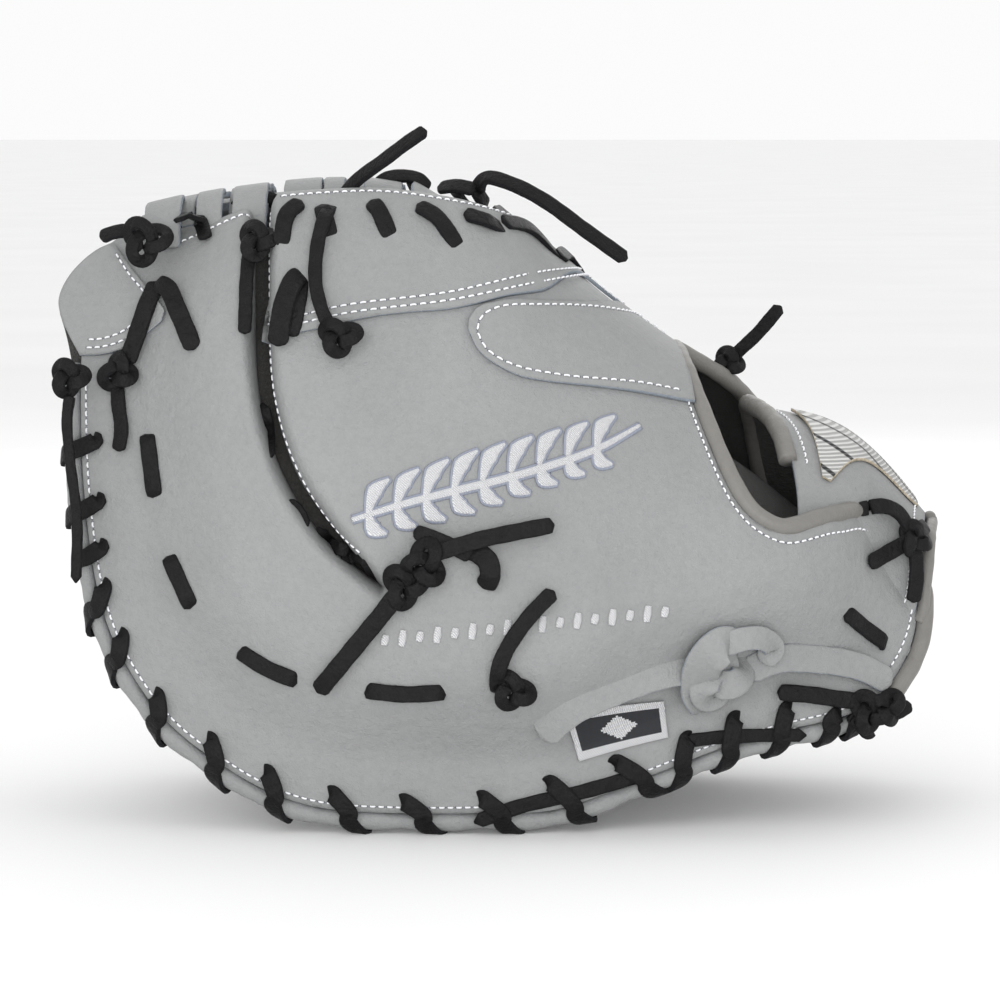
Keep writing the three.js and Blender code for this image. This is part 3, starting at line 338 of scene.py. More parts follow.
def join(*parts):
    """Lines one after another as one line, each with the share at which it ends."""

    def along(share):
        share = np.atleast_1d(np.asarray(share, float))
        places = np.zeros((len(share), 2))
        start = 0.0
        for one, end in parts:
            inside = (share > start) | (start == 0)
            places[inside] = one(np.clip((share[inside] - start) / (end - start), 0, 1))
            start = end
        return places

    return along


def closed_lift(places):
    return CLOSED_ROOM + BACK_LEATHER


def stall_lift(places):
    return 0.8 * HAND_ROOM * section(ROOM, places[..., 0])


# Leather edges, as rows of a share of the length, and a height as a share of HEIGHT or a distance from the
# middle as a share of HALF_WIDTH.
FINGER_RIM = (
    (0.937, 0.202, None),
    (0.889, 0.176, None),
    (0.822, 0.157, None),
    (0.744, 0.128, None),
    (0.667, 0.088, None),
    (0.57, 0.041, None),
    (0.48, 0.036, None),
    (0.38, 0.036, None),
    (0.3, 0.044, None),
    (0.25, 0.065, None),
    (0.194, 0.108, None),
    (0.128, 0.18, None),
    (0.076, 0.286, None),
    (0.053, 0.373, None),
    (0.036, 0.532, None),
    (0.031, 0.69, None),
    (0.031, 0.773, None),
)
FINGER_TIP = (
    (0.031, 0.773, None), (0.012, 0.8, None), (0.003, 0.84, None), (0.014, 0.881, None), (0.068, None, 0.33)
)
OUTER_STALL_TOP = ((0.068, None, 0.33), (0.13, None, 0.38), (0.228, None, 0.41))
INNER_STALL_TOP = (
    (0.244, None, 0.41),
    (0.34, None, 0.42),
    (0.42, None, 0.4),
    (0.49, None, 0.28),
    (0.53, None, 0.13),
    (0.55, None, 0.0),
)
SLIT_OUTER_EDGE = (
    (0.228, None, 0.41),
    (0.229, 0.88, None),
    (0.236, 0.7, None),
    (0.262, 0.58, None),
    (0.31, 0.475, None),
    (0.372, 0.402, None),
)
SLIT_INNER_EDGE = (
    (0.244, None, 0.41),
    (0.245, 0.88, None),
    (0.252, 0.7, None),
    (0.278, 0.58, None),
    (0.324, 0.485, None),
    (0.372, 0.402, None),
)
SEAM = ((0.55, None, 0.0), (0.61, None, -0.05), (0.698, None, -0.07))
FINGER_OPENING = (
    (0.698, None, -0.07),
    (0.706, 0.745, None),
    (0.731, 0.643, None),
    (0.767, 0.532, None),
    (0.789, 0.5, None),
    (0.817, 0.483, None),
    (0.878, 0.5, None),
    (0.911, 0.5, None),
    (0.95, 0.456, None),
)
FINGER_HEEL = (
    (0.95, 0.456, None),
    (0.976, 0.405, None),
    (0.98, 0.329, None),
    (0.965, 0.262, None),
    (0.937, 0.202, None),
)
THUMB_RIM = (
    (0.937, 0.202, None),
    (0.82, 0.143, None),
    (0.72, 0.095, None),
    (0.63, 0.045, None),
    (0.56, 0.036, None),
    (0.47, 0.036, None),
    (0.38, 0.038, None),
    (0.289, 0.08, None),
    (0.206, 0.167, None),
    (0.139, 0.294, None),
    (0.1, 0.437, None),
    (0.083, 0.58, None),
    (0.08, 0.77, None),
)
THUMB_TIP = ((0.08, 0.77, None), (0.072, 0.82, None), (0.082, 0.87, None), (0.13, None, 0.38))
THUMB_STALL_TOP = (
    (0.13, None, 0.38),
    (0.22, None, 0.42),
    (0.34, None, 0.43),
    (0.42, None, 0.4),
    (0.49, None, 0.28),
    (0.53, None, 0.13),
    (0.55, None, 0.012),
)
THUMB_OPENING = (
    (0.75, None, 0.18), (0.8, None, 0.34), (0.85, None, 0.56), (0.9, 0.5, None), (0.95, 0.456, None)
)
finger_rim = line(FINGER_RIM, closed_lift)
finger_tip = line(FINGER_TIP, closed_lift)
outer_stall_top = line(OUTER_STALL_TOP, closed_lift)
inner_stall_top = line(INNER_STALL_TOP, closed_lift)
slit_outer = line(SLIT_OUTER_EDGE, stall_lift)
slit_inner = line(SLIT_INNER_EDGE, stall_lift)
thumb_rim = line(THUMB_RIM, closed_lift, True)
thumb_tip = line(THUMB_TIP, closed_lift, True)
thumb_stall_top = line(THUMB_STALL_TOP, closed_lift, True)


def samples(*lines):
    return np.vstack([arch(along(np.linspace(0, 1, 41))) for along in lines])


EDGES = {
    "finger_rim": samples(finger_rim, finger_tip),
    "thumb_rim": samples(thumb_rim, thumb_tip),
    "finger_top": samples(outer_stall_top, inner_stall_top),
    "thumb_top": samples(thumb_stall_top),
    "slit_outer": samples(slit_outer),
    "slit_inner": samples(slit_inner),
}


def distance(points, edge):
    """How far points are from an edge, given as a chain of points."""
    start, step = edge[:-1], np.diff(edge, axis=0)
    keep = (step**2).sum(-1) > 1e-9
    start, step = start[keep], step[keep]
    flat = points.reshape(-1, 3)
    least = []
    for some in np.array_split(flat, max(1, len(flat) // 4000)):
        share = np.clip(((some[:, None] - start) * step).sum(-1) / (step**2).sum(-1), 0, 1)
        least.append(np.linalg.norm(some[:, None] - start - share[..., None] * step, axis=-1).min(1))
    return np.concatenate(least).reshape(points.shape[:-1])


def eased(value, low, high):
    """A smooth rise from 0 at low to 1 at high, which may be the smaller one."""
    t = np.clip((value - low) / (high - low), 0, 1)
    return t * t * (3 - 2 * t)


def rolled(gap, radius):
    return np.sqrt(1 - (1 - np.minimum(gap / radius, 1)) ** 2)


def hand_room(places):
    """The room between the palm and the back leather, closed along rims, stall tops and the slit."""
    points = arch(places)
    thumb = places[..., 1] > RIGHT
    rim = np.where(thumb, distance(points, EDGES["thumb_rim"]), distance(points, EDGES["finger_rim"]))
    top = np.where(thumb, distance(points, EDGES["thumb_top"]), distance(points, EDGES["finger_top"]))
    rise = eased(rim, LACED_EDGE, LACED_EDGE + RIM_ROUNDING)
    room = HAND_ROOM * section(ROOM, places[..., 0]) * rise
    outer, inner = distance(points, EDGES["slit_outer"]), distance(points, EDGES["slit_inner"])
    slit = np.minimum(outer, inner)
    proud = eased(outer - inner, -2, 3) * np.exp(-slit / RIM_ROUNDING)
    room = np.where(thumb, room, (room + STALL_STEP * proud * rise) * rolled(slit, SLIT_ROUNDING))
    return np.maximum(room * rolled(top, STALL_ROUNDING), CLOSED_ROOM)


def back_lift(places):
    return hand_room(places) + BACK_LEATHER


def patch(down, across, top, bottom, start, end):
    """A grid of places between four edges that share their corners."""
    u, v = down[:, None, None], across[None, :, None]
    c00, c01, c10, c11 = (np.atleast_2d(c)[0] for c in (top(0), top(1), bottom(0), bottom(1)))
    corners = (1 - u) * ((1 - v) * c00 + v * c01) + u * ((1 - v) * c10 + v * c11)
    sides = (1 - u) * top(across)[None] + u * bottom(across)[None]
    return sides + (1 - v) * start(down)[:, None] + v * end(down)[:, None] - corners


class Sheet:
    """Grids of places joined along their shared edges, as places, cells and the cells' outer edges."""

    def __init__(self, grids):
        index, self.cells = {}, []
        places = []
        for grid in grids:
            numbers = np.empty(grid.shape[:2], int)
            for i, row in enumerate(grid):
                for j, (at, turn) in enumerate(row):
                    key = (round(at * 2e4), round(turn * 2e4))
                    if key not in index:
                        index[key] = len(places)
                        places.append((at, turn))
                    numbers[i, j] = index[key]
            a, b, c, d = numbers[:-1, :-1], numbers[:-1, 1:], numbers[1:, 1:], numbers[1:, :-1]
            cells = np.stack([a, b, c, d], -1).reshape(-1, 4)
            p = np.array(places)[cells]
            area = (p[:, 2, 0] - p[:, 0, 0]) * (p[:, 3, 1] - p[:, 1, 1]) - (p[:, 2, 1] - p[:, 0, 1]) * (
                p[:, 3, 0] - p[:, 1, 0]
            )
            self.cells += [tuple(c) for c in (cells if area.sum() > 0 else cells[:, ::-1])]
        self.places = np.array(places)
        self.cells = [tuple(dict.fromkeys(cell)) for cell in self.cells]
        self.cells = [cell for cell in self.cells if len(cell) > 2]
        directed = {(a, b) for cell in self.cells for a, b in zip(cell, cell[1:] + cell[:1])}
        self.rim = [(a, b) for a, b in directed if (b, a) not in directed]

    def closed(self, inner, outer):
        """Points and faces of the closed sheet, and how many of its faces are outside, inside and edge."""
        n = len(self.places)
        faces = list(self.cells)
        faces += [tuple(i + n for i in reversed(cell)) for cell in self.cells]
        faces += [(b, a, a + n, b + n) for a, b in self.rim]
        return np.vstack([outer, inner]), faces, (len(self.cells), len(self.cells), len(self.rim))


def make(name, points, faces, materials, node=None, indices=None):
    """A piece from points in millimetres, pressed flat at the floor, which may stand for a node."""
    mesh = bpy.data.meshes.new(name)
    points = np.asarray(points) / 1000
    points[:, 2] = np.maximum(points[:, 2], 0)
    mesh.from_pydata(points.tolist(), [], [tuple(map(int, f)) for f in faces])
    for material in materials:
        mesh.materials.append(material)
    if indices is not None:
        mesh.polygons.foreach_set("material_index", np.asarray(indices, np.int32))
    mesh.polygons.foreach_set("use_smooth", np.ones(len(mesh.polygons), bool))
    mesh.update()
    piece = bpy.data.objects.new(name, mesh)
    scene.collection.objects.link(piece)
    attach(piece, "root")
    if node:
        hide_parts(node)
    return piece


def crowded(count, power=1.6):
    """Shares from 0 to 1 that crowd at the start, where the leather rolls down."""
    return np.linspace(0, 1, count + 1) ** power


def grey_hide(name, shade, grain=1.0, roughness=0.52):
    """Smooth grey steer hide: fine pores, a soft cloudy colour and faint creases."""
    material, shader = new_material(name, roughness, Specular_IOR_Level=0.22, Sheen_Weight=0.04)
    clouds = textured(material, "ShaderNodeTexNoise", 22, Detail=5, Roughness=0.6)
    specks = textured(material, "ShaderNodeTexNoise", 420, Detail=3, Roughness=0.7)
    tone = coloured(
        material,
        clouds.outputs["Fac"],
        (
            (0.3, linear(*(c - 4 for c in shade))),
            (0.52, linear(*shade)),
            (0.75, linear(*(c + 3 for c in shade))),
        ),
    )
    dusty = coloured(material, specks.outputs["Fac"], ((0.35, (0.94, 0.94, 0.945)), (0.6, (1.0, 1.0, 1.0))))
    material.node_tree.links.new(mixed(material, 1.0, tone, dusty, "MULTIPLY"), shader.inputs["Base Color"])
    pores = textured(material, "ShaderNodeTexVoronoi", 1500)
    creases = textured(material, "ShaderNodeTexNoise", 90, Detail=6, Roughness=0.65)
    bumped(
        material,
        shader,
        (
            (creases.outputs["Fac"], 0.0011 * grain),
            (specks.outputs["Fac"], 0.00035 * grain),
            (pores.outputs["Distance"], 0.00012 * grain),
        ),
    )
    return material


def toned(name, roughness, kind, scale, dark, pale, ends=(0.3, 0.7), sockets=None, **settings):
    """A material whose colour goes from dark to pale with one texture."""
    material, shader = new_material(name, roughness, **(sockets or {}))
    grain = textured(material, "ShaderNodeTex" + kind, scale, **settings)
    stops = ((ends[0], linear(*dark)), (ends[1], linear(*pale)))
    tone = coloured(material, grain.outputs["Fac"], stops)
    material.node_tree.links.new(tone, shader.inputs["Base Color"])
    return material, shader, grain


def raw_edge(name, shade):
    """Cut leather edge: pale bluish suede with loose fibres; given a dark shade, the same stands for the
    painted shade of the leather's inner face.
    """
    dark, pale = [c - 34 for c in shade], [c + 14 for c in shade]
    settings = {"sockets": {"Sheen_Weight": 0.3}, "Detail": 6, "Roughness": 0.8}
    material, shader, fibres = toned(name, 0.95, "Noise", 900, dark, pale, **settings)
    bumped(material, shader, ((fibres.outputs["Fac"], 0.0012),))
    return material


hide = grey_hide("grey_hide", (143, 144, 144))
band_hide = grey_hide("rolled_binding_hide", (124, 122, 118), 0.5, 0.4)
suede_edge = raw_edge("suede_edge", (150, 160, 172))
# The dark inner face of the leather pieces is painted shade, for the shade inside the mitt seen through the
# slit and the hand opening.
inside_painted_shade = raw_edge("inside_painted_shade", (44, 42, 38))
cut_hide = (hide, inside_painted_shade, suede_edge)

slit_end = slit_outer(1)
finger_opening = line(FINGER_OPENING, back_lift)
finger_heel = line(FINGER_HEEL, back_lift)
ridge_seam = line(SEAM, back_lift)
STALL_FOOT = (0.35, 0.22, None)
KNUCKLES = (0.6, 0.42, None)
foot_share = finger_rim.share_at(0.33)
knuckle_share = finger_opening.share_at(0.817)
inner_opening = part(finger_opening, 0, knuckle_share)
knuckles = Line([slit_end, place_of(KNUCKLES, back_lift), inner_opening(1)])
stall_foot = Line([slit_end, place_of(STALL_FOOT, back_lift), finger_rim(foot_share)])
KNUCKLES_SHARE = 0.78
stall_steps = crowded(34, 1.4)
stall_steps = np.concatenate([stall_steps[:-6], np.linspace(stall_steps[-6], 1, 8)])
slit_steps = crowded(64, 1.5)
inner_steps = crowded(70, 1.25)
rest_steps = np.concatenate([inner_steps * KNUCKLES_SHARE, np.linspace(KNUCKLES_SHARE, 1, 15)[1:]])
finger_sheet = Sheet(
    [
        patch(
            slit_steps,
            stall_steps,
            reverse(outer_stall_top),
            stall_foot,
            slit_outer,
            join((reverse(finger_tip), 0.16), (reverse(part(finger_rim, foot_share, 1)), 1)),
        ),
        patch(
            slit_steps,
            inner_steps,
            join((inner_stall_top, 0.66), (ridge_seam, 1)),
            knuckles,
            slit_inner,
            inner_opening,
        ),
        patch(
            stall_steps,
            rest_steps,
            join((knuckles, KNUCKLES_SHARE), (part(finger_opening, knuckle_share, 1), 1)),
            reverse(part(finger_rim, 0, foot_share)),
            stall_foot,
            finger_heel,
        ),
    ]
)


def leather(name, places_sheet, under, over, materials, node=None):
    """A closed leather sheet between two lifts, with its face, its back and its cut edge."""
    inner, outer = arch(places_sheet.places, under), arch(places_sheet.places, over)
    points, faces, counts = places_sheet.closed(inner, outer)
    return make(name, points, faces, materials, node, np.repeat((0, 1, 2), counts))


room = hand_room(finger_sheet.places)
leather("finger_hide", finger_sheet, room, room + BACK_LEATHER, cut_hide, "finger_back")

# Back of the thumb
# The same hide over the thumb, on the far side, cut as one piece without a slit.
# It meets the finger back in a seam along the ridge, and is laced to the palm along its own rim.
seam_turn = 0.35 / (HALF_WIDTH * 0.85)


def thumb_seam(share):
    return ridge_seam(share) + (0, seam_turn)


thumb_opening = Line([thumb_seam(1), *(place_of(row, back_lift, True) for row in THUMB_OPENING)])
thumb_heel = line(FINGER_HEEL, back_lift, True)
thumb_grid = patch(
    crowded(50, 1.5),
    np.linspace(0, 1, 110),
    join((thumb_stall_top, 0.42), (thumb_seam, 0.64), (thumb_opening, 1)),
    reverse(thumb_rim),
    reverse(thumb_tip),
    thumb_heel,
)
thumb_sheet = Sheet([thumb_grid])
room = hand_room(thumb_sheet.places)
leather("thumb_hide", thumb_sheet, room, room + BACK_LEATHER, cut_hide, "thumb_back")

# Palm
# One piece of the same hide forms the pocket from rim to rim, open downwards, and closes at the heel.
# It is padded in the middle, and thins to a bare edge where it is laced.
PALM_EDGE = 4.5
PALM_THICKNESS = 8.0
CROTCH = 0.4
heel_cut = np.array([0.925, RIGHT])


def palm_heel(corner, side):
    return Line([corner, np.array([0.94, (math.pi / 4) * (2 + side)]), heel_cut])


palm_ridge = Line([heel_cut, np.array([0.74, RIGHT]), inner_stall_top(1)])
palm_columns = np.concatenate([np.linspace(0, CROTCH, 40), np.linspace(CROTCH, 1, 70)[1:]])
palm_rows = np.linspace(0, 1, 46)
palm_sheet = Sheet(
    [
        patch(
            palm_rows,
            palm_columns,
            finger_rim,
            join(
                (palm_ridge, CROTCH),
                (reverse(inner_stall_top), 0.77),
                (Line([slit_inner(0), slit_outer(0)]), 0.8),
                (reverse(outer_stall_top), 1),
            ),
            palm_heel(finger_rim(0), -1),
            finger_tip,
        ),
        patch(
            palm_rows,
            palm_columns,
            thumb_rim,
            join((palm_ridge, CROTCH), (reverse(thumb_stall_top), 1)),
            palm_heel(thumb_rim(0), 1),
            thumb_tip,
        ),
    ]
)
palm_points = arch(palm_sheet.places)
rim_gap = np.minimum(distance(palm_points, EDGES["finger_rim"]), distance(palm_points, EDGES["thumb_rim"]))
palm_depth = PALM_EDGE + (PALM_THICKNESS - PALM_EDGE) * eased(rim_gap, LACED_EDGE, RIM_ROUNDING)
# The palm's face toward the hand's room takes the dark painted shade of the inside as well.
palm = leather(
    "palm_hide", palm_sheet, -palm_depth, np.zeros(len(palm_depth)), (inside_painted_shade, hide, suede_edge), "palm"
)

# Rim beads
# A strip of hide is rolled into a bead, which closes the gap between palm and back along both laced rims.
# The rim laces pass over it, and each of their turns pinches it.
BEAD_SIZE = 6.8
CLEARANCE = 0.35
middle_lift = (CLOSED_ROOM + BACK_LEATHER - PALM_EDGE) / 2
FORWARD = np.array([0, math.cos(CAMERA_RISE), -math.sin(CAMERA_RISE)])
UPWARD = np.array([0, math.sin(CAMERA_RISE), math.cos(CAMERA_RISE)])
CAMERA_PLACE = np.array(camera.location)
PIXELS = 1000 * CAMERA_DISTANCE / FIELD


def unit(vectors):
    return vectors / np.maximum(np.linalg.norm(vectors, axis=-1, keepdims=True), 1e-9)


def pixel_of(points):
    """Where points show in the photo's square of a thousand pixels."""
    seen_from = points / 1000 - CAMERA_PLACE
    depth = seen_from @ FORWARD
    return np.stack(
        [500 + PIXELS * seen_from[..., 0] / depth, 500 - PIXELS * (seen_from @ UPWARD) / depth], -1
    )


def in_air(x, y, depth):
    """The point that shows at a pixel, at a distance behind the mitt's middle."""
    way = FORWARD + np.array([(x - 500) / PIXELS, 0, 0]) + UPWARD * (500 - y) / PIXELS
    return 1000 * (CAMERA_PLACE + way * (depth / 1000 - CAMERA_PLACE[1]) / way[1])


lookup = np.stack(
    np.meshgrid(np.linspace(0, 1, 221), np.linspace(0.03, RIGHT + 0.08, 161), indexing="ij"), -1
)
surface = arch(lookup, back_lift(lookup))
facing = unit(np.cross(np.gradient(surface, axis=0), np.gradient(surface, axis=1))) @ FORWARD < -0.06
lookup, lookup_pixels = lookup[facing], pixel_of(surface)[facing]


def seen(pixels):
    """The places on the finger side's leather that show at pixels."""
    pixels = np.asarray(pixels, float)[:, :2]
    places = lookup[((lookup_pixels[None] - pixels[:, None]) ** 2).sum(-1).argmin(1)].copy()
    small = 1e-4
    for _ in range(3):
        base = pixel_of(arch(places, back_lift(places)))
        slopes = [
            (pixel_of(arch(places + way, back_lift(places + way))) - base) / small for way in (
                (small, 0), (0, small)
            )
        ]
        slope = np.stack(slopes, -1)
        square = np.swapaxes(slope, 1, 2) @ slope + 2000 * np.eye(2)
        step = np.linalg.solve(square, np.swapaxes(slope, 1, 2) @ (pixels - base)[..., None])[..., 0]
        places += np.clip(step, -0.01, 0.01)
    return places


class Build:
    """A mesh put together from many small parts."""

    def __init__(self):
        self.points, self.faces, self.looks, self.count = [], [], [], 0

    def add(self, points, faces, look=0):
        points = np.asarray(points).reshape(-1, 3)
        self.points.append(points)
        self.faces += [tuple(int(i) + self.count for i in face) for face in faces]
        self.looks += list(look) if isinstance(look, (list, np.ndarray)) else [look] * len(faces)
        self.count += len(points)

    def piece(self, name, materials, nodes=()):
        piece = make(name, np.vstack(self.points), self.faces, materials, None, self.looks)
        if nodes:
            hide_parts(*nodes)


def tube(build, rings, looks=None):
    """Closed rings of points joined to a bar with closed ends, with a look for each strip round the ring."""
    rings = np.asarray(rings)
    count, sides = rings.shape[:2]
    faces, marks = [], []
    for i in range(count - 1):
        for j in range(sides):
            k = (j + 1) % sides
            faces.append((i * sides + j, i * sides + k, (i + 1) * sides + k, (i + 1) * sides + j))
            marks.append(0 if looks is None else looks[j])
    faces += [tuple(range(sides))[::-1], tuple((count - 1) * sides + j for j in range(sides))]
    build.add(rings, faces, [*marks, marks[0], marks[0]])


def stations(points, outs):
    """The ways along, sideways and out at each point of a path."""
    along = unit(np.gradient(points, axis=0))
    side = unit(np.cross(along, outs))
    return along, side, unit(np.cross(side, along))


def rope(build, points, outs, widths, heights, sides=14, looks=None, power=1.0):
    """A bar along a path, as wide and high as given at each point."""
    _, side, out = stations(points, outs)
    angle = np.linspace(0, 2 * math.pi, sides, endpoint=False)
    across = np.sign(np.cos(angle)) * np.abs(np.cos(angle)) ** power
    up = np.sign(np.sin(angle)) * np.abs(np.sin(angle)) ** power
    widths = np.broadcast_to(widths, len(points))[:, None, None] / 2
    heights = np.broadcast_to(heights, len(points))[:, None, None] / 2
    rings = points[:, None] + side[:, None] * across[:, None] * widths + out[:, None] * up[:, None] * heights
    tube(build, rings, looks)


def rail(along, lift_of, shares, off, lift):
    """Points beside a line of places, off its edge and lifted, with the way out at each."""
    places = along(shares)
    base = arch(places, lift_of(places))
    _, _, out = ways(places)
    _, side, out = stations(base, out)
    return base + side * off + out * lift, out, side


WRAPS = (
    (103, 590), (120, 640), (155, 700), (208, 745), (265, 778), (330, 800), (402, 808), (480, 805),
    (548, 790), (615, 770), (690, 745), (738, 725), (790, 715), (840, 720), (870, 735),
)
wrap_tops = seen([(x, y - 6) for x, y in WRAPS])


def flat_lift(places):
    return np.zeros(len(places))


def nearest_share(along, place):
    shares = np.linspace(0, 1, 800)
    return shares[np.linalg.norm(arch(along(shares)) - arch(place), axis=1).argmin()]


wrap_shares = np.array([nearest_share(finger_rim, place) for place in wrap_tops])


def bead(name, rim, side, pinches, node):
    """A rolled bead along a rim, drawn in at its lace turns."""
    build = Build()
    shares = np.linspace(0.004, 0.985, 520)
    off = side * (BEAD_SIZE / 2 - 0.2)
    points, out, _ = rail(rim, flat_lift, shares, off, middle_lift)
    near = np.abs(shares[:, None] - pinches[None]).min(1) * 330
    size = BEAD_SIZE * (1 - 0.2 * np.exp(-((near / 4.5) ** 2)))
    size *= 1 + 0.025 * np.sin(shares * 190) + 0.02 * np.sin(shares * 457)
    rope(build, points, out, size, size * 1.02, 20)
    build.piece(name, (hide,), (node,))


bead("finger_bead", finger_rim, -1, wrap_shares, "finger_rim_bead")
thumb_turns = np.linspace(0.02, 0.97, 15)
bead("thumb_bead", thumb_rim, 1, thumb_turns, "thumb_rim_bead")

# Rolled bindings of the hand opening
# Soft brownish-grey hide is rolled over the edges of the opening on both sides.
# It is sewn just behind the roll, and runs on round the heel.
ROLL = 6.0


def roll(name, places, lift_of, side, lift, node, size=ROLL):
    """A rolled binding along places."""
    build = Build()
    points = arch(places, lift_of(places))
    _, _, outs = ways(places)
    _, across, out = stations(points, outs)
    centre = points + side * across * (size / 2 - 0.4) + out * lift
    reached = np.linspace(0, 1, len(places))
    wave = 1 + 0.03 * np.sin(reached * 61) + 0.02 * np.sin(reached * 143)
    rope(build, centre, outs, size * wave, size * wave, 20)
    build.piece(name, (band_hide,), (node,) if node else ())


opening_shares = np.linspace(0.0, 1, 200)
opening_places = np.vstack([finger_opening(opening_shares), finger_heel(np.linspace(0, 0.97, 60))[1:]])
roll("finger_opening_roll", opening_places, hand_room, -1, BACK_LEATHER * 0.6, "finger_opening_binding")
far_places = np.vstack([thumb_opening(opening_shares[4:]), thumb_heel(np.linspace(0, 0.97, 60))[1:]])
roll("thumb_opening_roll", far_places, hand_room, 1, BACK_LEATHER * 0.6, "thumb_opening_binding")


def spread(steps, given, rows):
    """Rows of numbers, read between the steps at which they are given."""
    return np.stack([np.interp(steps, given, column) for column in np.transpose(rows)], -1)


def dense_places(path, pitch_pixels=6):
    """Places along a smooth curve through pixels, one every few pixels."""
    curve = smooth_curve(np.asarray(path, float)[:, :2], 40)
    reached = reached_along(curve)
    count = max(int(round(reached[-1] / pitch_pixels)), 2)
    shares = np.linspace(0, reached[-1], count + 1)
    return seen(spread(shares, reached, curve))


def between(first, last, start, end, rows, columns):
    """A sheet of places between four lines."""
    return Sheet([patch(np.linspace(0, 1, rows), np.linspace(0, 1, columns), first, last, start, end)])


def overlay(name, sheet, materials, node, under=CLEARANCE, thickness=1.6):
    """A piece of leather sewn flat on the back leather."""
    lift = back_lift(sheet.places)
    return leather(name, sheet, lift + under, lift + under + thickness, materials, node)


# Leather sewn on the backs
# A cap over each tip, a wide cap over the index finger, and the tongue of the hood beside the opening.
# They are cut from the same hide with raw edges, and sewn flat on the backs.
cap_corner = ((162, 322), (165, 312))
cap_low = Line(seen([(80, 356), (103, 355), (127, 348), cap_corner[0]]))
cap_side = Line(seen([(113, 246), (130, 268), (148, 290), cap_corner[1]]))
tip_edge = Line(
    [cap_low(0), finger_tip(0.15), finger_tip(0.4), finger_tip(0.65), finger_tip(0.85), cap_side(0)]
)
tip_cap = between(tip_edge, Line(seen(cap_corner)), cap_low, cap_side, 34, 34)
overlay("tip_cap_hide", tip_cap, cut_hide, "fingertip_cap")
INDEX_EDGE = ((262, 342), (300, 333), (350, 322), (450, 310), (540, 293), (600, 288), (630, 297), (652, 314))
index_low = Line(seen(INDEX_EDGE))
index_top = join((part(inner_stall_top, 0.005, 1), 0.72), (part(ridge_seam, 0, 0.74), 1))
index_left = Line([index_top(0)[0], *(slit_inner(s) + (0.002, 0) for s in (0.1, 0.2, 0.3)), index_low(0)])
index_cap = Sheet(
    [
        patch(
            crowded(44, 1.7),
            crowded(76, 1.25),
            index_top,
            index_low,
            index_left,
            Line([index_top(1)[0], index_low(1)]),
        )
    ]
)
overlay("index_cap_hide", index_cap, cut_hide, "index_cap")
HOOD_TOP = ((469, 321), (478, 309), (500, 303), (540, 303), (600, 307), (645, 315), (684, 327))
HOOD_LOW = ((468, 330), (480, 353), (510, 373), (560, 384), (640, 394), (695, 404))
hood_top, hood_low = Line(seen(HOOD_TOP)), Line(seen(HOOD_LOW))
hood = between(
    hood_top, hood_low, Line([hood_top(0), hood_low(0)]), Line([hood_top(1), hood_low(1)]), 24, 60
)
overlay("hood_hide", hood, cut_hide, "finger_hood")


def mirrored(places):
    return np.stack([places[..., 0], math.pi - places[..., 1]], -1)


thumb_cap_low = Line(
    [
        place_of((0.09, 0.76, None), closed_lift, True),
        place_of((0.17, 0.73, None), back_lift, True),
        place_of((0.24, 0.79, None), back_lift, True),
    ],
)
thumb_cap_edge = part(thumb_stall_top, 0.01, 0.3)
thumb_cap = between(
    thumb_cap_edge,
    thumb_cap_low,
    Line([thumb_cap_edge(0), thumb_tip(0.5), thumb_tip(0.1), thumb_cap_low(0)]),
    Line([thumb_cap_edge(1), thumb_cap_low(1)]),
    26,
    26,
)
overlay("thumb_cap_hide", thumb_cap, cut_hide, "thumb_cap")

# Wrist strap
# A broad band of the same hide crosses the wrist and goes under the bindings at both sides.
# Its front edge is rolled, and its back edge is bound.
STRAP = np.array(
    [
        (50, 0.838, 0.94),
        (57, 0.839, 0.975),
        (65, 0.833, 0.985),
        (76, 0.819, 0.993),
        (89, 0.802, 1.0),
        (102, 0.8, 1.0),
        (112, 0.808, 0.99),
        (122, 0.82, 0.98),
        (130, 0.835, 0.955),
    ]
)
STRAP_DROP = 6.6
STRAP_BOW = 26.0
STRAP_THICKNESS = 3.0


def strap_under(places):
    bowed = STRAP_BOW * eased(places[..., 0], 0.74, 1.0) * eased(np.abs(places[..., 1] - RIGHT), 0.72, 0.3)
    return np.maximum(hand_room(places) - STRAP_DROP - STRAP_THICKNESS, 3 * CLEARANCE) + bowed


def band(rows, count, steps):
    """A sheet between the front and back edges of a table of angles and shares of the length."""
    turns = np.radians(rows[:, 0])
    front, back = Line(np.stack([rows[:, 1], turns], -1)), Line(np.stack([rows[:, 2], turns], -1))
    u, v = np.linspace(0, 1, count), np.linspace(0, 1, steps)[None, :, None]
    return front, back, Sheet([(1 - v) * front(u)[:, None] + v * back(u)[:, None]])


strap_front, strap_back, strap_sheet = band(STRAP, 70, 34)
strap_low = strap_under(strap_sheet.places)
leather("strap_hide", strap_sheet, strap_low, strap_low + STRAP_THICKNESS, cut_hide, "wrist_strap")
roll(
    "strap_front_roll", strap_front(np.linspace(0.17, 0.96, 90)), strap_under, -1, 1.5, "strap_binding", 6.4
)
roll("strap_back_roll", strap_back(np.linspace(0.1, 0.95, 90)), strap_under, 1, 1.5, None, 4.2)

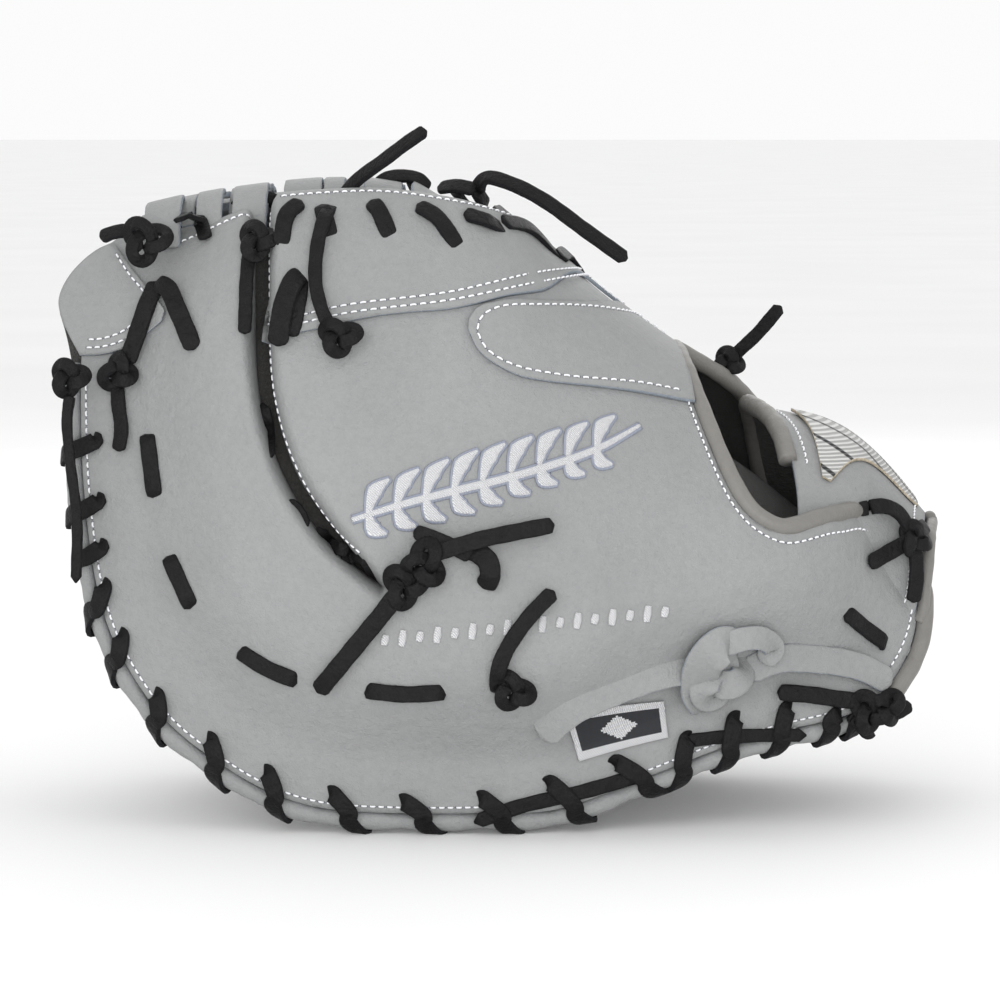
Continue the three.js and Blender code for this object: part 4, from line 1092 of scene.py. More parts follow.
# Strap label
# A woven label is sewn on the strap. It is of pale ribbed cloth with a tan edge.
# Thin black slanting lines are woven in, in place of lettering.
CLOTH = 1.1
LABEL = np.array(
    [(62, 0.868, 0.877), (68, 0.863, 0.905), (74, 0.857, 0.945), (80, 0.85, 0.985), (88, 0.842, 0.988)]
)
woven, woven_shader = new_material("woven_label", 0.85, Sheen_Weight=0.2)
ribs = textured(woven, "ShaderNodeTexWave", 260, Distortion=0.6, Detail=2)
ribs.bands_direction = "Z"
slants = textured(woven, "ShaderNodeTexWave", 34, Distortion=0.0)
slants.bands_direction = "DIAGONAL"
ground = coloured(woven, ribs.outputs["Fac"], ((0.2, linear(150, 150, 148)), (0.7, linear(206, 206, 204))))
lines = coloured(woven, slants.outputs["Fac"], ((0.0, (0, 0, 0)), (0.93, (0, 0, 0)), (0.97, (1, 1, 1))))
woven.node_tree.links.new(mixed(woven, lines, ground, linear(36, 36, 38)), woven_shader.inputs["Base Color"])
bumped(woven, woven_shader, ((ribs.outputs["Fac"], 0.0006),))
tan, _, _ = toned("tan_thread", 0.8, "Noise", 900, (150, 138, 118), (196, 186, 166))
_, _, label_sheet = band(LABEL, 40, 30)
label_low = strap_under(label_sheet.places) + STRAP_THICKNESS + 2 * CLEARANCE
leather("label_cloth", label_sheet, label_low, label_low + CLOTH, (woven, woven, tan), "strap_label")

# Web
# Grey leather bars cross from stall to stall over a post that lies along the middle.
# They are cut from the same hide, and the web laces tie their ends to the stalls.
WEB_BARS = (
    ("web_bar_tip", 0.1, 0.155),
    ("web_bar_front", 0.195, 0.24),
    ("web_bar_middle", 0.3, 0.385),
    ("web_base", 0.43, 0.51),
)
WEB_LEATHER = 2.6
BAR_INSET = 0.011
finger_top_line = Line(
    np.vstack([outer_stall_top(np.linspace(0, 1, 9)), inner_stall_top(np.linspace(0, 1, 20))])
)
for node, start, end in WEB_BARS:
    ats = np.linspace(start, end, 12)
    first = finger_top_line(finger_top_line.share_at(ats))[:, 1] + BAR_INSET
    last = thumb_stall_top(thumb_stall_top.share_at(ats))[:, 1] - BAR_INSET
    v = np.linspace(0, 1, 40)[None, :]
    turns = first[:, None] * (1 - v) + last[:, None] * v
    bar_sheet = Sheet([np.stack([np.broadcast_to(ats[:, None], turns.shape), turns], -1)])
    above = np.full(len(bar_sheet.places), CLEARANCE)
    leather(node + "_hide", bar_sheet, above, above + WEB_LEATHER, cut_hide, node)
post_turn = math.asin(0.21)
post_turns = RIGHT + np.linspace(-post_turn, post_turn, 16)
post_sheet = Sheet([np.stack(np.meshgrid(np.linspace(*WEB_POST, 80), post_turns, indexing="ij"), -1)])
below = np.full(len(post_sheet.places), -CLEARANCE - WEB_LEATHER)
leather("web_post_hide", post_sheet, below, below + WEB_LEATHER, cut_hide, "web_post")


skin_names = ("finger_hide", "index_cap_hide", "tip_cap_hide", "hood_hide", "strap_hide", "strap_front_roll")
skin_names += ("finger_opening_roll", "label_cloth", "finger_bead", "strap_back_roll")
skin_points, skin_faces = [], []
for skin_name in skin_names:
    skin_mesh = bpy.data.objects[skin_name].data
    skin_faces += [[len(skin_points) + i for i in face.vertices] for face in skin_mesh.polygons]
    skin_points += [vertex.co * 1000 for vertex in skin_mesh.vertices]
skin = BVHTree.FromPolygons(skin_points, skin_faces)


def touched(x, y, lift):
    """The point over whatever leather shows at a pixel, and the way out of it."""
    start = Vector(1000 * CAMERA_PLACE)
    spot, normal, _, _ = skin.ray_cast(start, (Vector(in_air(x, y, 0)) - start).normalized())
    return np.array(spot + normal * lift), np.array(normal)


def strip(build, points, outs, width, thickness, sides=14, blunt=0.35):
    """A flat strip of leather along points, with rounded corners and ends."""
    reached = reached_along(points)
    end = np.minimum(reached, reached[-1] - reached) / (width * blunt)
    narrow = np.sqrt(np.clip(1 - (1 - np.clip(end, 0, 1)) ** 2, 0.02, 1))
    wobble = 1 + (0.12 * np.sin(reached * 0.7 + points[0, 0]) + 0.06 * np.sin(reached * 2.3)) / width
    angle = np.linspace(0, 2 * math.pi, sides, endpoint=False) + math.pi / sides
    looks = [0 if abs(math.sin(a)) > 0.5 else 1 for a in angle]
    rope(
        build, points, outs, width * narrow * wobble, thickness * np.maximum(narrow, 0.6), sides, looks, 0.3
    )


def trail(path, lift=1.2, dense=10):
    """Points and ways out along pixels, on the leather or, where an item has a depth, in the air."""
    spots, outs = [], []
    for item in path:
        if len(item) == 4 and item[3] is None:
            spot, out = touched(*item[:3])
            spots.append(spot)
            outs.append(out)
            continue
        if len(item) == 4:
            spots.append(in_air(item[0], item[1], item[3]))
            outs.append((0, -0.75, 0.66))
            continue
        place = seen([item])
        raised = back_lift(place) + (item[2] if len(item) > 2 else lift)
        spots.append(arch(place, raised)[0])
        outs.append(ways(place)[2][0])
    curve = smooth_curve(spots, dense)
    shares = np.linspace(0, len(spots) - 1, len(curve))
    return curve, unit(spread(shares, range(len(spots)), outs))


def laid(path, lift=1.2, step=7):
    """Points and ways out along a smooth curve of pixels that lies on the leather all along."""
    places = dense_places(path, step)
    return arch(places, back_lift(places) + lift), ways(places)[2]


# Black rawhide
# All laces are strips of black rawhide, cut about five millimetres wide.
# They are waxed on the grain side and fibrous on the cut sides.
rawhide_settings = {"sockets": {"Specular_IOR_Level": 0.17}, "Detail": 6, "Roughness": 0.7}
rawhide, rawhide_shader, rawhide_grain = toned(
    "black_rawhide", 0.4, "Noise", 260, (9, 9, 11), (22, 21, 22), **rawhide_settings
)
rawhide_lines = textured(rawhide, "ShaderNodeTexNoise", 700, Detail=4)
bumped(
    rawhide, rawhide_shader, ((rawhide_grain.outputs["Fac"], 0.0009), (rawhide_lines.outputs["Fac"], 0.0004))
)
fibre_sockets = {"Sheen_Weight": 0.05, "Specular_IOR_Level": 0.1}
fibre_settings = {"sockets": fibre_sockets, "Detail": 5, "Roughness": 0.8}
fibre, fibre_shader, fibre_grain = toned(
    "black_suede", 0.95, "Noise", 1100, (11, 11, 13), (30, 30, 34), **fibre_settings
)
bumped(fibre, fibre_shader, ((fibre_grain.outputs["Fac"], 0.001),))
LACE = 5.4
LACE_THICKNESS = 1.9

# Rim laces
# One black lace whips palm and back together along each rim.
# Each turn goes out of a slot in the back, over the bead, and in through the palm.
def rim_turns(name, rim, side, starts, leans, lift_of, node):
    build = Build()
    bead_off = BEAD_SIZE / 2
    over = BEAD_SIZE * 0.42 + LACE_THICKNESS * 0.6
    ends = []
    for start, lean in zip(starts, leans):
        share = nearest_share(rim, start)
        shares = np.array([share, share + lean * 0.6, share + lean])
        base = arch(rim(np.clip(shares, 0, 1)))
        _, _, out = ways(rim(np.clip(shares, 0, 1)))
        along = unit(arch(rim(min(share + 0.01, 1))) - arch(rim(max(share - 0.01, 0))))
        off = unit(np.cross(along, out)) * side
        lift = float(lift_of(start[None])[0])
        top = arch(start[None], lift - 1.5)[0]
        top_out = ways(start[None])[2][0]
        spots = [
            top,
            arch(start[None], lift + 1.3)[0] + along * lean * 40,
            base[1] + off[1] * 0.5 + out[1] * (closed_lift(None) + 1.6),
            base[1] + off[1] * bead_off + out[1] * (middle_lift + over),
            base[2] + off[2] * (bead_off + over) + out[2] * middle_lift,
            base[2] + off[2] * bead_off + out[2] * (middle_lift - over),
            base[2] - off[2] * 1 - out[2] * (PALM_EDGE + 1.6),
            base[2] - off[2] * 7 - out[2] * (PALM_EDGE + 1.4),
            base[2] - off[2] * 8.5 - out[2] * (PALM_EDGE - 1),
        ]
        outs = [
            top_out,
            top_out,
            out[1],
            unit(out[1] + off[1] * 0.5),
            off[2],
            unit(off[2] * 0.3 - out[2]),
            -out[2],
            -out[2],
            -out[2],
        ]
        curve = smooth_curve(spots, 6)
        shares = np.linspace(0, len(spots) - 1, len(curve))
        curve_outs = unit(spread(shares, range(len(spots)), outs))
        strip(build, curve, curve_outs, LACE * 1.1, LACE_THICKNESS, blunt=0.15)
        ends.append((share, share + lean))
    for (_, first), (second, _) in zip(ends, ends[1:]):
        low, high = sorted((first, second))
        shares = np.linspace(low, high, 12)
        points, out, across = rail(rim, flat_lift, shares, -side * 7.5, -PALM_EDGE - 1.5)
        strip(build, points, -out, LACE, LACE_THICKNESS)
    build.piece(name, (rawhide, fibre), (node,))


leans = [-0.03 if x < 690 else 0.028 for x, _ in WRAPS]
extra_tops = seen([(101, 546), (98, 500), (95, 440)])
rim_turns(
    "finger_rim_turns",
    finger_rim,
    -1,
    np.vstack([extra_tops[::-1], wrap_tops]),
    [-0.012] * 3 + leans,
    back_lift,
    "finger_rim_lace",
)
thumb_starts = np.array([mirrored(place) for place in wrap_tops])
thumb_starts[:, 0] += 0.02
rim_turns("thumb_rim_turns", thumb_rim, 1, thumb_starts, leans, back_lift, "thumb_rim_lace")


def knot(
    build, centre, out, size, spin, width=4.3, thickness=LACE_THICKNESS, height=1.0, squash=1.0, seed=1
):
    """A pulled-tight overhand knot: a strip that loops over and under itself three times."""
    draw = random.Random(seed)
    side = unit(np.cross(out, (0.0, 0.0, 1.0)) + 1e-6)
    up = np.cross(side, out)
    t = np.linspace(0, 2 * math.pi, 64)
    across = (np.sin(t) + 2 * np.sin(2 * t)) / 3
    rise = (np.cos(t) - 2 * np.cos(2 * t)) / 3 * squash
    c, s = math.cos(spin), math.sin(spin)
    lift = (1 - np.sin(3 * t)) * thickness * 0.75 * height + thickness * 0.6
    bulge = 1 + 0.12 * draw.random() * np.sin(t + draw.random() * 6)
    points = (
        centre
        + side * ((across * c - rise * s) * size * bulge)[:, None]
        + up * ((across * s + rise * c) * size * bulge)[:, None]
        + out * lift[:, None]
    )
    radial = unit(points - centre)
    outs = unit(out + radial * 0.55)
    strip(build, points, outs, width, thickness, blunt=0.05)


def knot_on(build, x, y, size, spin, lift=1.0, **details):
    """A knot on the leather at a pixel."""
    place = seen([(x, y)])
    knot(build, arch(place, back_lift(place) + lift)[0], ways(place)[2][0], size, spin, **details)


def knot_in_air(build, x, y, depth, size, spin, **details):
    knot(build, in_air(x, y, depth), unit(np.array([0, -1.0, 0.25])), size, spin, **details)


def lace(build, path, lift=1.2, width=LACE, thickness=LACE_THICKNESS):
    """A lace through pixels: on the leather all along, or partly in the air where a point has a depth."""
    if any(len(item) > 2 for item in path):
        points, outs = trail(path, lift)
    else:
        points, outs = laid(path, lift)
    strip(build, points, outs, width, thickness)


def sunk(build, path, lift=1.1, width=LACE, thickness=LACE_THICKNESS):
    """A lace stitch whose ends go down into the leather."""
    points, outs = laid(path, lift, 4)
    reached = np.linspace(0, 1, len(points))
    depth = np.clip(np.maximum(0.13 - reached, reached - 0.87) / 0.13, 0, 1) ** 1.5 * 2.6
    strip(build, points - outs * depth[:, None], outs, width, thickness, blunt=0.3)


# Laces of the outer stall
# Two knots hang at the tip, and one lace passes over the cap's edge.
# Four long stitches go in and out of the leather and follow the stall down.
stall = Build()
TIP_DEPTH = -52
knot_in_air(stall, 70, 379, TIP_DEPTH + 3, 5.4, 0.4, seed=3)
tail = [
    (70, 395, 0, TIP_DEPTH),
    (67, 420, 0, TIP_DEPTH - 1),
    (70, 460, 0, TIP_DEPTH - 3),
    (77, 520, 0, TIP_DEPTH - 5),
    (76, 583, 0, TIP_DEPTH - 6),
]
lace(stall, tail, width=3.6, thickness=3.2)
stall.piece("tip_knot_lace", (rawhide, fibre), ("lace_tip_knot",))
stall = Build()
knot_on(stall, 121, 374, 5.4, 0.9, seed=5)
lace(stall, [(118, 385, 2.0), (119, 405, 2.2), (122, 430, 2.4), (119, 452, 2.6)], width=4.8)
lace(stall, [(127, 365, 2.5), (136, 342, 3.4), (148, 308, 3.6), (158, 286, 3.8)], width=6.2)
stall.piece("stall_knot_lace", (rawhide, fibre), ("lace_stall_knot",))
stall = Build()
lace(stall, [(157, 288, 4.4), (168, 292, 4.2), (178, 312, 3.0), (188, 335, 1.8), (194, 350, 0.4)], width=6.4)
stall.piece("stall_loop_lace", (rawhide, fibre), ("lace_stall_loop",))
for number, (start, end) in enumerate(
    (((147, 433), (155, 498)), ((168, 555), (192, 608)), ((238, 650), (298, 681)), ((364, 690), (446, 692)))
):
    build = Build()
    middle = ((start[0] + end[0]) / 2, (start[1] + end[1]) / 2 + (3 if number > 1 else 0))
    sunk(build, [start, middle, end], width=5.6)
    build.piece(f"stall_stitch_lace_{number + 1}", (rawhide, fibre), (f"lace_stall_stitch_{number + 1}",))
build = Build()
sunk(build, [(845, 612), (866, 630), (888, 646)], width=5.8)
build.piece("heel_stitch_lace", (rawhide, fibre), ("lace_heel_stitch",))

# Laces of the inner stall
# A knot sits at the slit's top, and a loop and a knot with a long free end lie on the index cap.
# Short laces cross the slit and tie the two stalls together.
build = Build()
knot_on(build, 260, 246, 6.0, 0.3, 2.0, seed=8)
lace(build, [(250, 255, 4.0), (247, 285, 3.2), (246, 315, 3.0), (245, 336, 3.2)], width=4.6)
build.piece("slit_top_knot_lace", (rawhide, fibre), ("lace_slit_top_knot",))
build = Build()
lace(build, [(303, 276, 1.0), (296, 282, 3.6), (287, 300, 4.2), (281, 325, 4.0), (278, 348, 2.6)], width=7)
lace(build, [(302, 280, 1.4), (300, 300, 3.0), (296, 322, 3.0), (291, 338, 2.0)], width=5)
build.piece("index_loop_lace", (rawhide, fibre), ("lace_index_loop",))
build = Build()
knot_on(build, 340, 340, 6.2, 0.2, 3.0, seed=11, squash=0.85)
crown = -38
path = [(330, 330, 4.5), (322, 312, 4.4), (316, 285, 4.2), (318, 250, 4.0), (326, 222, 4.2)]
path += [
    (342, 198, 0, crown + 2),
    (356, 181, 0, crown),
    (384, 160, 0, crown - 4),
    (408, 142, 0, crown - 7),
    (426, 130, 0, crown - 9),
]
lace(build, path, width=4.6, thickness=2.6)
build.piece("index_knot_lace", (rawhide, fibre), ("lace_index_knot",))
build = Build()
for path in (
    ((262, 402), (267, 430), (268, 460)),
    ((284, 500), (298, 512), (306, 530)),
    ((318, 528), (330, 545), (352, 552)),
    ((340, 560), (362, 556), (376, 578)),
):
    lace(build, path, -2.2, 4.8)
build.piece("slit_cross_laces", (rawhide, fibre))

# Knots below the slit
# Black laces are knotted at the slit's end, with one flat end down and one to the right.
# A ring comes out of the leather beside them, and one more knot sits lower on the palm side.
build = Build()
for x, y, size, spin, lift, seed in (
    (405, 585, 6.4, 0.2, 1.2, 21), (424, 564, 6.6, 1.3, 2.4, 22)
):
    knot_on(build, x, y, size, spin, lift, seed=seed)
lace(build, [(398, 592, 4.0), (385, 610, 3.4), (362, 638, 3.0), (338, 667, 3.2), (318, 691, 3.6)], width=6.2)
lace(build, [(414, 531, 2.4), (430, 537, 3.2), (450, 545, 3.6), (472, 557, 3.4)], width=5.2)
lace(build, [(428, 556, 4.2), (455, 547, 5.0), (480, 540, 5.6), (520, 532, 5.0), (554, 526, 4.4)], width=5.6)
build.piece("slit_end_knot_lace", (rawhide, fibre), ("lace_slit_end_knot",))
build = Build()
lace(build, [(466, 548, 1.6), (478, 553, 3.6), (488, 562, 4.4), (490, 576, 4.0), (484, 588, 1.2)], width=7)
build.piece("slit_end_loop_lace", (rawhide, fibre), ("lace_slit_end_loop",))
build = Build()
knot_on(build, 512, 690, 6.4, 0.6, 1.0, seed=31, squash=0.8)
lace(build, [(498, 692, 2.2), (498, 672, 3.2), (506, 650, 3.4), (528, 618, 3.4), (554, 591, 3.8)], width=5.4)
build.piece("palm_knot_lace", (rawhide, fibre), ("lace_palm_knot",))

# Heel laces
# Black laces end in a knot at the heel, with a long end that lies along the rim.
# Two more cross where the strap meets the heel, and hold it there.
build = Build()
for x, y, size, spin, lift, seed in ((868, 712, 6.4, 0.4, 1.6, 41), (884, 708, 5.0, 1.8, 2.2, 42)):
    knot_on(build, x, y, size, spin, lift, seed=seed)
lace(build, [(872, 702, 3.0), (845, 700, 2.4), (812, 695, 2.2), (777, 692, 2.0)], width=5.8)
lace(build, [(868, 718, 3.0), (885, 717, 2.8), (898, 712, 2.4), (910, 705, 2.0)], width=5.0)
build.piece("heel_knot_lace", (rawhide, fibre), ("lace_heel_knot",))
build = Build()
lace(
    build,
    [(862, 509, 2.0, None), (876, 508, 3.4, None), (890, 516, 4.4, None), (902, 534, 4.6, None)],
    width=5.2,
)
lace(
    build,
    [(866, 564, 1.4, None), (884, 552, 2.6, None), (905, 540, 4.6, None), (922, 527, 1.6, None)],
    width=5.6,
)
lace(
    build,
    [(902, 535, 5.0, None), (909, 556, 4.0, None), (912, 580, 3.4, None), (910, 602, 3.0, None)],
    width=5.2,
)
middle, middle_out = touched(906, 541, 2.4)
knot(build, middle, middle_out, 5.2, 0.7, seed=44)
build.piece("strap_cross_laces", (rawhide, fibre), ("lace_strap_cross",))

# Web laces
# Black laces go from holes in the stalls over their top edges and down to the web.
# Some of their ends stand free above the mitt.
build = Build()
for start, end in (
    ((302, 200), (281, 248)), ((322, 204), (331, 240)), ((371, 200), (391, 240)), ((417, 204), (459, 250)),
    ((464, 213), (521, 255)), ((503, 222), (560, 262)), ((560, 258), (586, 276)),
):
    middle = ((start[0] * 0.45 + end[0] * 0.55) - 3, (start[1] + end[1]) / 2 - 4)
    lace(build, [(start[0], start[1] + 6, 2.8), (*middle, 3.4), (*end, 1.0)], width=5.8)
build.piece("finger_web_laces", (rawhide, fibre), ("finger_web_lace",))
build = Build()
for at in np.linspace(0.2, 0.5, 7):
    turn = thumb_stall_top(thumb_stall_top.share_at(at))[1]
    places = np.array(
        [(at, turn - 0.02), (at + 0.004, turn + 0.03), (at + 0.01, turn + 0.09), (at + 0.016, turn + 0.13)]
    )
    spots = arch(places, back_lift(places) + np.array([3.5, 2.4, 1.6, 0.4]))
    curve = smooth_curve(spots, 8)
    outs = unit(spread(np.linspace(0, 3, len(curve)), range(4), ways(places)[2]))
    strip(build, curve, outs, LACE, LACE_THICKNESS)
build.piece("thumb_web_laces", (rawhide, fibre), ("thumb_web_lace",))
build = Build()
web_depth = -25
knot_in_air(build, 146, 242, web_depth - 14, 7.4, 0.3, seed=51)
lace(
    build,
    [
        (140, 236, 0, web_depth - 12),
        (125, 231, 0, web_depth - 12),
        (112, 233, 0, web_depth - 12),
        (100, 238, 0, web_depth - 12),
    ],
    width=5.2,
)
lace(build, [(170, 244, 2.2), (177, 228, 3.2), (188, 216, 0, web_depth - 14)], width=5)
lace(build, [(206, 242, 2.2), (201, 228, 3.2), (192, 216, 0, web_depth - 14)], width=5)
build.piece("web_tip_knot_lace", (rawhide, fibre), ("lace_web_tip_knot",))
build = Build()
lace(build, [(438, 188, 0, -20), (458, 186, 0, -24), (476, 190, 0, -26)], width=5.4)
path = [
    (486, 206, 0, -20),
    (478, 190, 0, -24),
    (486, 178, 0, -27),
    (512, 184, 0, -30),
    (545, 201, 0, -32),
    (585, 230, 0, -33),
    (627, 260, 0, -34),
]
lace(build, path, width=5.0, thickness=2.6)
build.piece("web_tail_lace", (rawhide, fibre), ("lace_web_tail",))
build = Build()
lace(build, [(726, 366, 0, 28), (738, 352, 0, 26), (757, 334, 0, 24), (781, 306, 0, 22)], width=4.8)
knot_in_air(build, 728, 364, 26, 4.2, 0.8, seed=55)
build.piece("thumb_tail_lace", (rawhide, fibre), ("lace_thumb_tail",))
build = Build()
for x0, x1, top, depth in ((234, 281, 196, -18), (375, 428, 176, -14), (300, 352, 196, -10)):
    middle = (x0 + x1) / 2
    lace(
        build,
        [
            (x0, top + 14, 0, depth),
            (x0 + 10, top + 3, 0, depth),
            (middle, top, 0, depth),
            (x1 - 10, top + 3, 0, depth),
            (x1, top + 14, 0, depth),
        ],
        width=5,
    )
build.piece("web_arch_laces", (rawhide, fibre))

# Web loops
# Strips of the grey hide are folded over the top edges of both stalls.
# They stand there as loops, and show their raw pale edges.
LOOPS = ((0.127, 13), (0.175, 9), (0.217, 12), (0.28, 13), (0.318, 7), (0.365, 13), (0.43, 22), (0.5, 15))
LOOP_RUN = ((0.24, 3.4), (0.15, 6.0), (0.07, 8.6), (0.0, 9.0), (-0.05, 6.6), (-0.075, 3.6))
build = Build()
for at, width in LOOPS:
    for edge, side in ((finger_top_line, 1), (thumb_stall_top, -1)):
        turn = edge(edge.share_at(at))[1]
        run = np.array([(at + 0.006 * math.sin(at * 90), turn + side * over) for over, _ in LOOP_RUN])
        drop = 1 if side > 0 else 0.8
        spots = smooth_curve(arch(run, np.array([lift * drop for _, lift in LOOP_RUN])), 8)
        steps = np.linspace(0, len(run) - 1, len(spots))
        outs = unit(spread(steps, range(len(run)), ways(run)[2]))
        strip(build, spots, outs, width, 2.4, blunt=0.12)
build.piece("web_loops", (hide, suede_edge))

# Strips along the rim
# Two flat ends of black lace lie along the edge of the finger side.
# They pass under the turns of the rim lace.
build = Build()
lace(build, [(474, 822), (520, 806), (580, 792), (640, 775)], 0.9, 5.0)
lace(build, [(684, 741), (720, 737), (765, 735), (806, 735)], 0.9, 4.6)
build.piece("rim_strips", (rawhide, fibre))

# Adjusting tie
# A strip of the grey hide is knotted near the heel.
# It leaves two long soft ends with pale raw edges.
build = Build()
lace(
    build,
    [(690, 668, 2.2), (660, 673, 1.4), (610, 691, 1.0), (570, 710, 1.6), (540, 736, 2.6)],
    width=11,
    thickness=1.7,
)
lace(
    build,
    [(745, 672, 3.2), (775, 660, 4.2), (815, 660, 3.0), (860, 668, 1.8), (891, 684, 1.6)],
    width=9.5,
    thickness=1.7,
)
knot_on(build, 716, 674, 7.6, 0.5, 1.6, width=10, thickness=1.8, height=1.5, squash=1.15, seed=61)
lace(
    build,
    [(708, 706, 2.0), (698, 688, 6.4), (704, 662, 8.4), (722, 646, 7.6), (736, 652, 4.0)],
    width=13,
    thickness=1.7,
)
lace(
    build,
    [(718, 648, 6.0), (742, 640, 6.8), (762, 640, 6.0), (772, 650, 5.0), (760, 662, 5.2)],
    width=8,
    thickness=1.8,
)
build.piece("adjusting_tie_hide", (hide, suede_edge), ("adjusting_tie",))

# Stitching
# Rows of white thread hold the edges, the bindings and the sewn pieces.
# Each stitch dips into a small hole at either end, where a flat dark disc is painted shade of the hole.
thread_settings = {"sockets": {"Sheen_Weight": 0.25}, "Distortion": 1.0}
thread, _, _ = toned(
    "white_thread", 0.7, "Wave", 900, (225, 227, 232), (252, 252, 253), (0.2, 0.8), **thread_settings
)
# Painted shade: the dark colour of the stitch holes.
painted_hole_shade, _, _ = toned("painted_stitch_shade", 0.9, "Noise", 800, (40, 42, 52), (66, 70, 84))


def stitch(build, points, outs, width=0.62):
    """One stitch: a short thread that dips into a hole at each end, shown as a flat dark disc of painted
    shade.
    """
    rise = np.array([-0.25, 0.32, 0.42, 0.32, -0.25])[:, None]
    shares = np.linspace(0, 1, 5)[:, None]
    base = points[0] * (1 - shares) + points[1] * shares
    out = unit(outs[0] * (1 - shares) + outs[1] * shares)
    rope(build, base + out * rise, out, width, width * 0.9, 6)
    for spot, way in ((points[0], outs[0]), (points[1], outs[1])):
        along = unit(points[1] - points[0])
        side = np.cross(along, way)
        angle = np.linspace(0, 2 * math.pi, 8, endpoint=False)[:, None]
        ring = spot + way * 0.06 + 0.36 * (along * np.cos(angle) + side * np.sin(angle))
        # A flat disc in the dark material: painted shade of the stitch hole.
        build.add(ring, [tuple(range(8))], 1)


def sew(build, points, outs, pitch, filled=0.68):
    """A row of stitches along dense points."""
    reached = reached_along(points)
    for number in range(int(reached[-1] / pitch)):
        ends = pitch * (number + np.array([0.5 - filled / 2, 0.5 + filled / 2]))
        stitch(build, spread(ends, reached, points), unit(spread(ends, reached, outs)))


def sew_places(build, places, pitch, lift):
    sew(build, arch(places, back_lift(places) + lift), ways(places)[2], pitch)


def inset(along, shares, off, side):
    """Places beside a line of places, off its edge by a length."""
    places = along(shares)
    ahead, over, out = ways(places)
    way = unit(np.gradient(arch(places), axis=0))
    across = np.cross(way, out) * side
    d_at = (across * ahead).sum(-1) / (ahead**2).sum(-1)
    d_turn = (across * over).sum(-1) / (over**2).sum(-1)
    return places + off * np.stack([d_at, d_turn], -1)


PITCH = 2.9
OPENING_PITCH = 2.7
build = Build()
rim_shares = np.linspace(0.005, 0.985, 400)
sew_places(build, inset(finger_rim, rim_shares, 2.0, 1), PITCH, 0.0)
sew_places(build, inset(thumb_rim, rim_shares, 2.0, -1), PITCH, 0.0)
sew_places(build, inset(finger_opening, np.linspace(0.02, 1, 300), 2.2, 1), OPENING_PITCH, 0.0)
sew_places(build, inset(finger_heel, np.linspace(0.0, 0.95, 100), 2.4, 1), PITCH, 0.0)
sew_places(build, inset(thumb_opening, np.linspace(0.03, 1, 300), 2.2, -1), OPENING_PITCH, 0.0)
sew_places(build, inset(slit_outer, np.linspace(0.03, 0.93, 260), 5.2, -1), PITCH, 0.0)
sew_places(build, inset(outer_stall_top, np.linspace(0.25, 0.97, 100), 6.0, 1), PITCH, 0.0)
sew_places(build, inset(inner_stall_top, np.linspace(0.03, 0.97, 260), 6.2, 1), 2.9, 2.0)
sew_places(build, inset(thumb_stall_top, np.linspace(0.1, 0.95, 260), 6.2, -1), PITCH, 0.0)
for path, pitch, lift in (
    (((268, 334), (300, 325), (350, 314), (450, 302), (540, 286), (600, 281), (640, 296)), 3.3, 2.0),
    (((268, 326), (300, 317), (350, 306), (450, 294), (535, 277), (592, 273)), 3.3, 2.0),
    (((477, 333), (481, 319), (500, 309), (540, 308), (600, 312), (645, 321), (678, 331)), 3.5, 2.0),
    (((477, 333), (486, 350), (512, 366), (560, 377), (640, 386), (688, 396)), 3.5, 2.0),
    (((86, 349), (103, 348), (125, 341), (152, 320)), 2.9, 2.0),
    (((88, 341), (103, 340), (123, 333), (150, 312)), 2.9, 2.0),
    (((116, 256), (130, 277), (143, 292), (156, 311)), 2.9, 2.0),
):
    places = dense_places(path, 5)
    sew_places(build, places, pitch, lift)


def sew_strap(build, line_of, shares, off):
    places = line_of(shares) + (off, 0)
    points = arch(places, strap_under(places) + STRAP_THICKNESS)
    sew(build, points, ways(places)[2], 2.8)


cap_places = inset(thumb_cap_low, np.linspace(0.03, 0.97, 60), 2.4, 1)
sew_places(build, cap_places, 3.0, 2.0)
sew_strap(build, strap_front, np.linspace(0.17, 0.95, 160), 0.017)
sew_strap(build, strap_back, np.linspace(0.1, 0.95, 160), -0.012)
build.piece("stitching", (thread, painted_hole_shade))

# Patch and embroidery
# A small woven patch is sewn near the heel, with a pale border and a diamond.
# A sprig and a row of short bars are satin-stitched on the back, in place of lettering.
satin_settings = {"sockets": {"Sheen_Weight": 0.3}, "Distortion": 0.8, "Detail": 2}
satin, satin_shader, satin_lines = toned(
    "satin_stitch", 0.55, "Wave", 620, (222, 223, 228), (252, 252, 253), (0.1, 0.6), **satin_settings
)
satin_lines.bands_direction = "DIAGONAL"
bumped(satin, satin_shader, ((satin_lines.outputs["Fac"], 0.0007),))
ends = (0.2, 0.8)
trim, _, _ = toned("grey_thread", 0.7, "Wave", 700, (112, 118, 134), (150, 154, 166), ends, Distortion=1.0)
field, _, _ = toned("patch_field", 0.8, "Wave", 800, (24, 25, 28), (44, 45, 50), ends, Distortion=0.8)


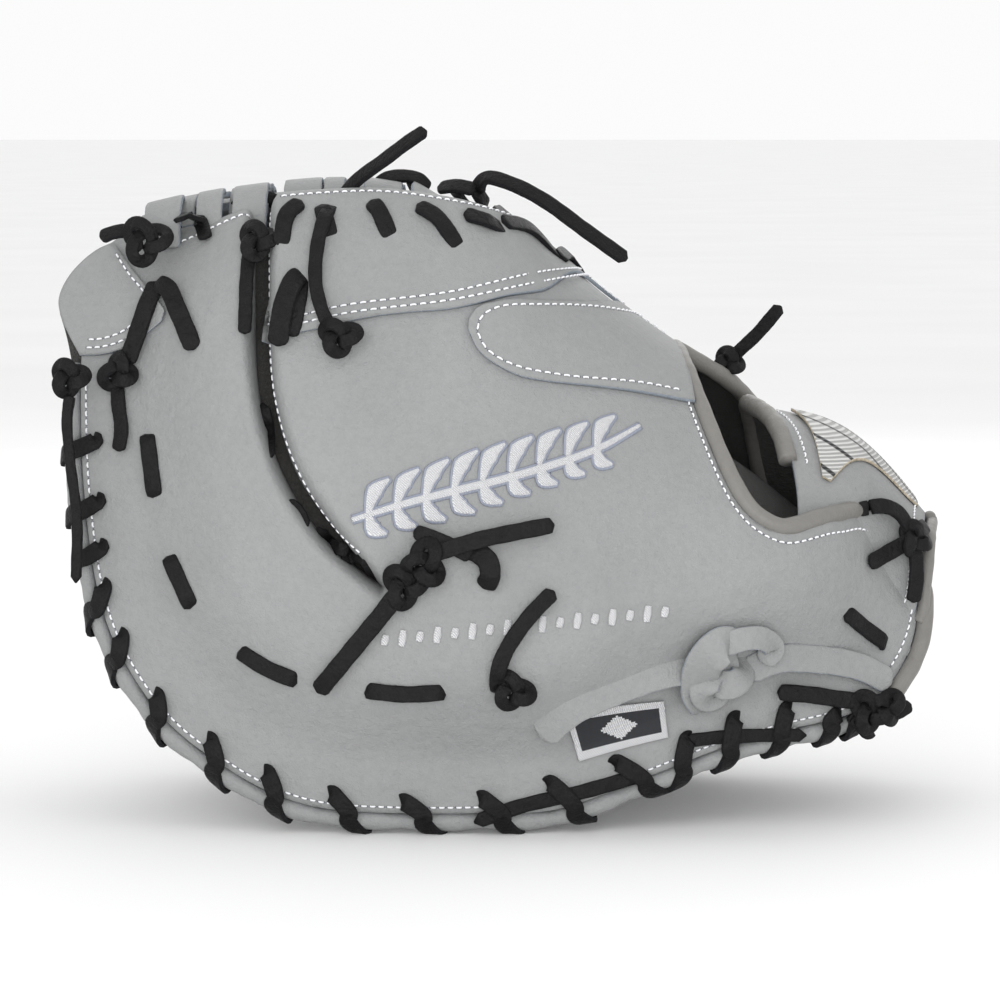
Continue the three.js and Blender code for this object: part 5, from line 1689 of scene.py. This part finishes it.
def satin_band(build, path, widths, lift, look, step=4):
    """A raised band of satin stitch along pixels, as wide as given at its points."""
    path = np.asarray(path, float)
    curve = smooth_curve(path, 16)
    shares = np.linspace(0, len(path) - 1, len(curve))
    wide = np.interp(shares, range(len(path)), widths) / 3
    places = seen(curve)
    points = arch(places, back_lift(places) + lift)
    rope(build, points, ways(places)[2], wide, np.minimum(wide * 0.5, 1.3), 12, None, 0.8)
    build.looks[-(len(curve) - 1) * 12 - 2 :] = [look] * ((len(curve) - 1) * 12 + 2)


build = Build()
STEM = ((352, 520), (400, 505), (450, 492), (500, 480), (550, 466), (600, 448), (640, 426))
LEAVES = 9
for lift, wider, look in ((0.15, 5, 1), (0.55, 0, 0)):
    satin_band(build, STEM, [n + wider for n in (5, 7, 8, 8, 8, 7, 4)], lift, look)
    for number in range(LEAVES):
        share = number / (LEAVES - 1)
        x, y = 368 + 228 * share, 514 - 66 * share
        for turn, tall in ((-1, 34), (1, 30)):
            size = tall * (1 - 0.35 * abs(share - 0.35))
            tip = (x + size * 0.75, y + turn * size - 6)
            middle = ((x + tip[0]) / 2 - 4, (y + tip[1]) / 2 + turn * 5)
            satin_band(build, ((x, y), middle, tip), (5 + wider, 15 + wider, 2 + wider), lift, look)
for number in range(17):
    x = 384 + number * 17.5
    y = 640 - number * 1.75
    tall = 8 if number % 2 else 5
    satin_band(build, ((x, y + tall), (x + 1, y), (x + 2, y - tall)), (6, 8, 6), 0.2, 0)
build.piece("embroidery", (satin, trim))
corners = seen([(565, 713), (664, 701), (668, 737), (579, 761)])
patch_top, patch_low = Line([corners[0], corners[1]]), Line([corners[3], corners[2]])
patch_sheet = between(
    patch_top, patch_low, Line([corners[0], corners[3]]), Line([corners[1], corners[2]]), 24, 50
)
lift = back_lift(patch_sheet.places)
inner, outer = arch(patch_sheet.places, lift + CLEARANCE), arch(patch_sheet.places, lift + CLEARANCE + CLOTH)
points, faces, counts = patch_sheet.closed(inner, outer)
u = np.repeat(np.linspace(0, 1, 23), 49)
v = np.tile(np.linspace(0, 1, 49), 23)
border = (u < 0.14) | (u > 0.86) | (v < 0.06) | (v > 0.94)
shape = np.abs(v - 0.5) / 0.2 + np.abs(u - 0.5) / 0.3 < 1
looks = np.where(border | shape, 0, 1)
make(
    "sewn_patch",
    points,
    faces,
    (satin, field),
    "patch",
    np.concatenate([looks, np.zeros(counts[1] + counts[2])]),
)
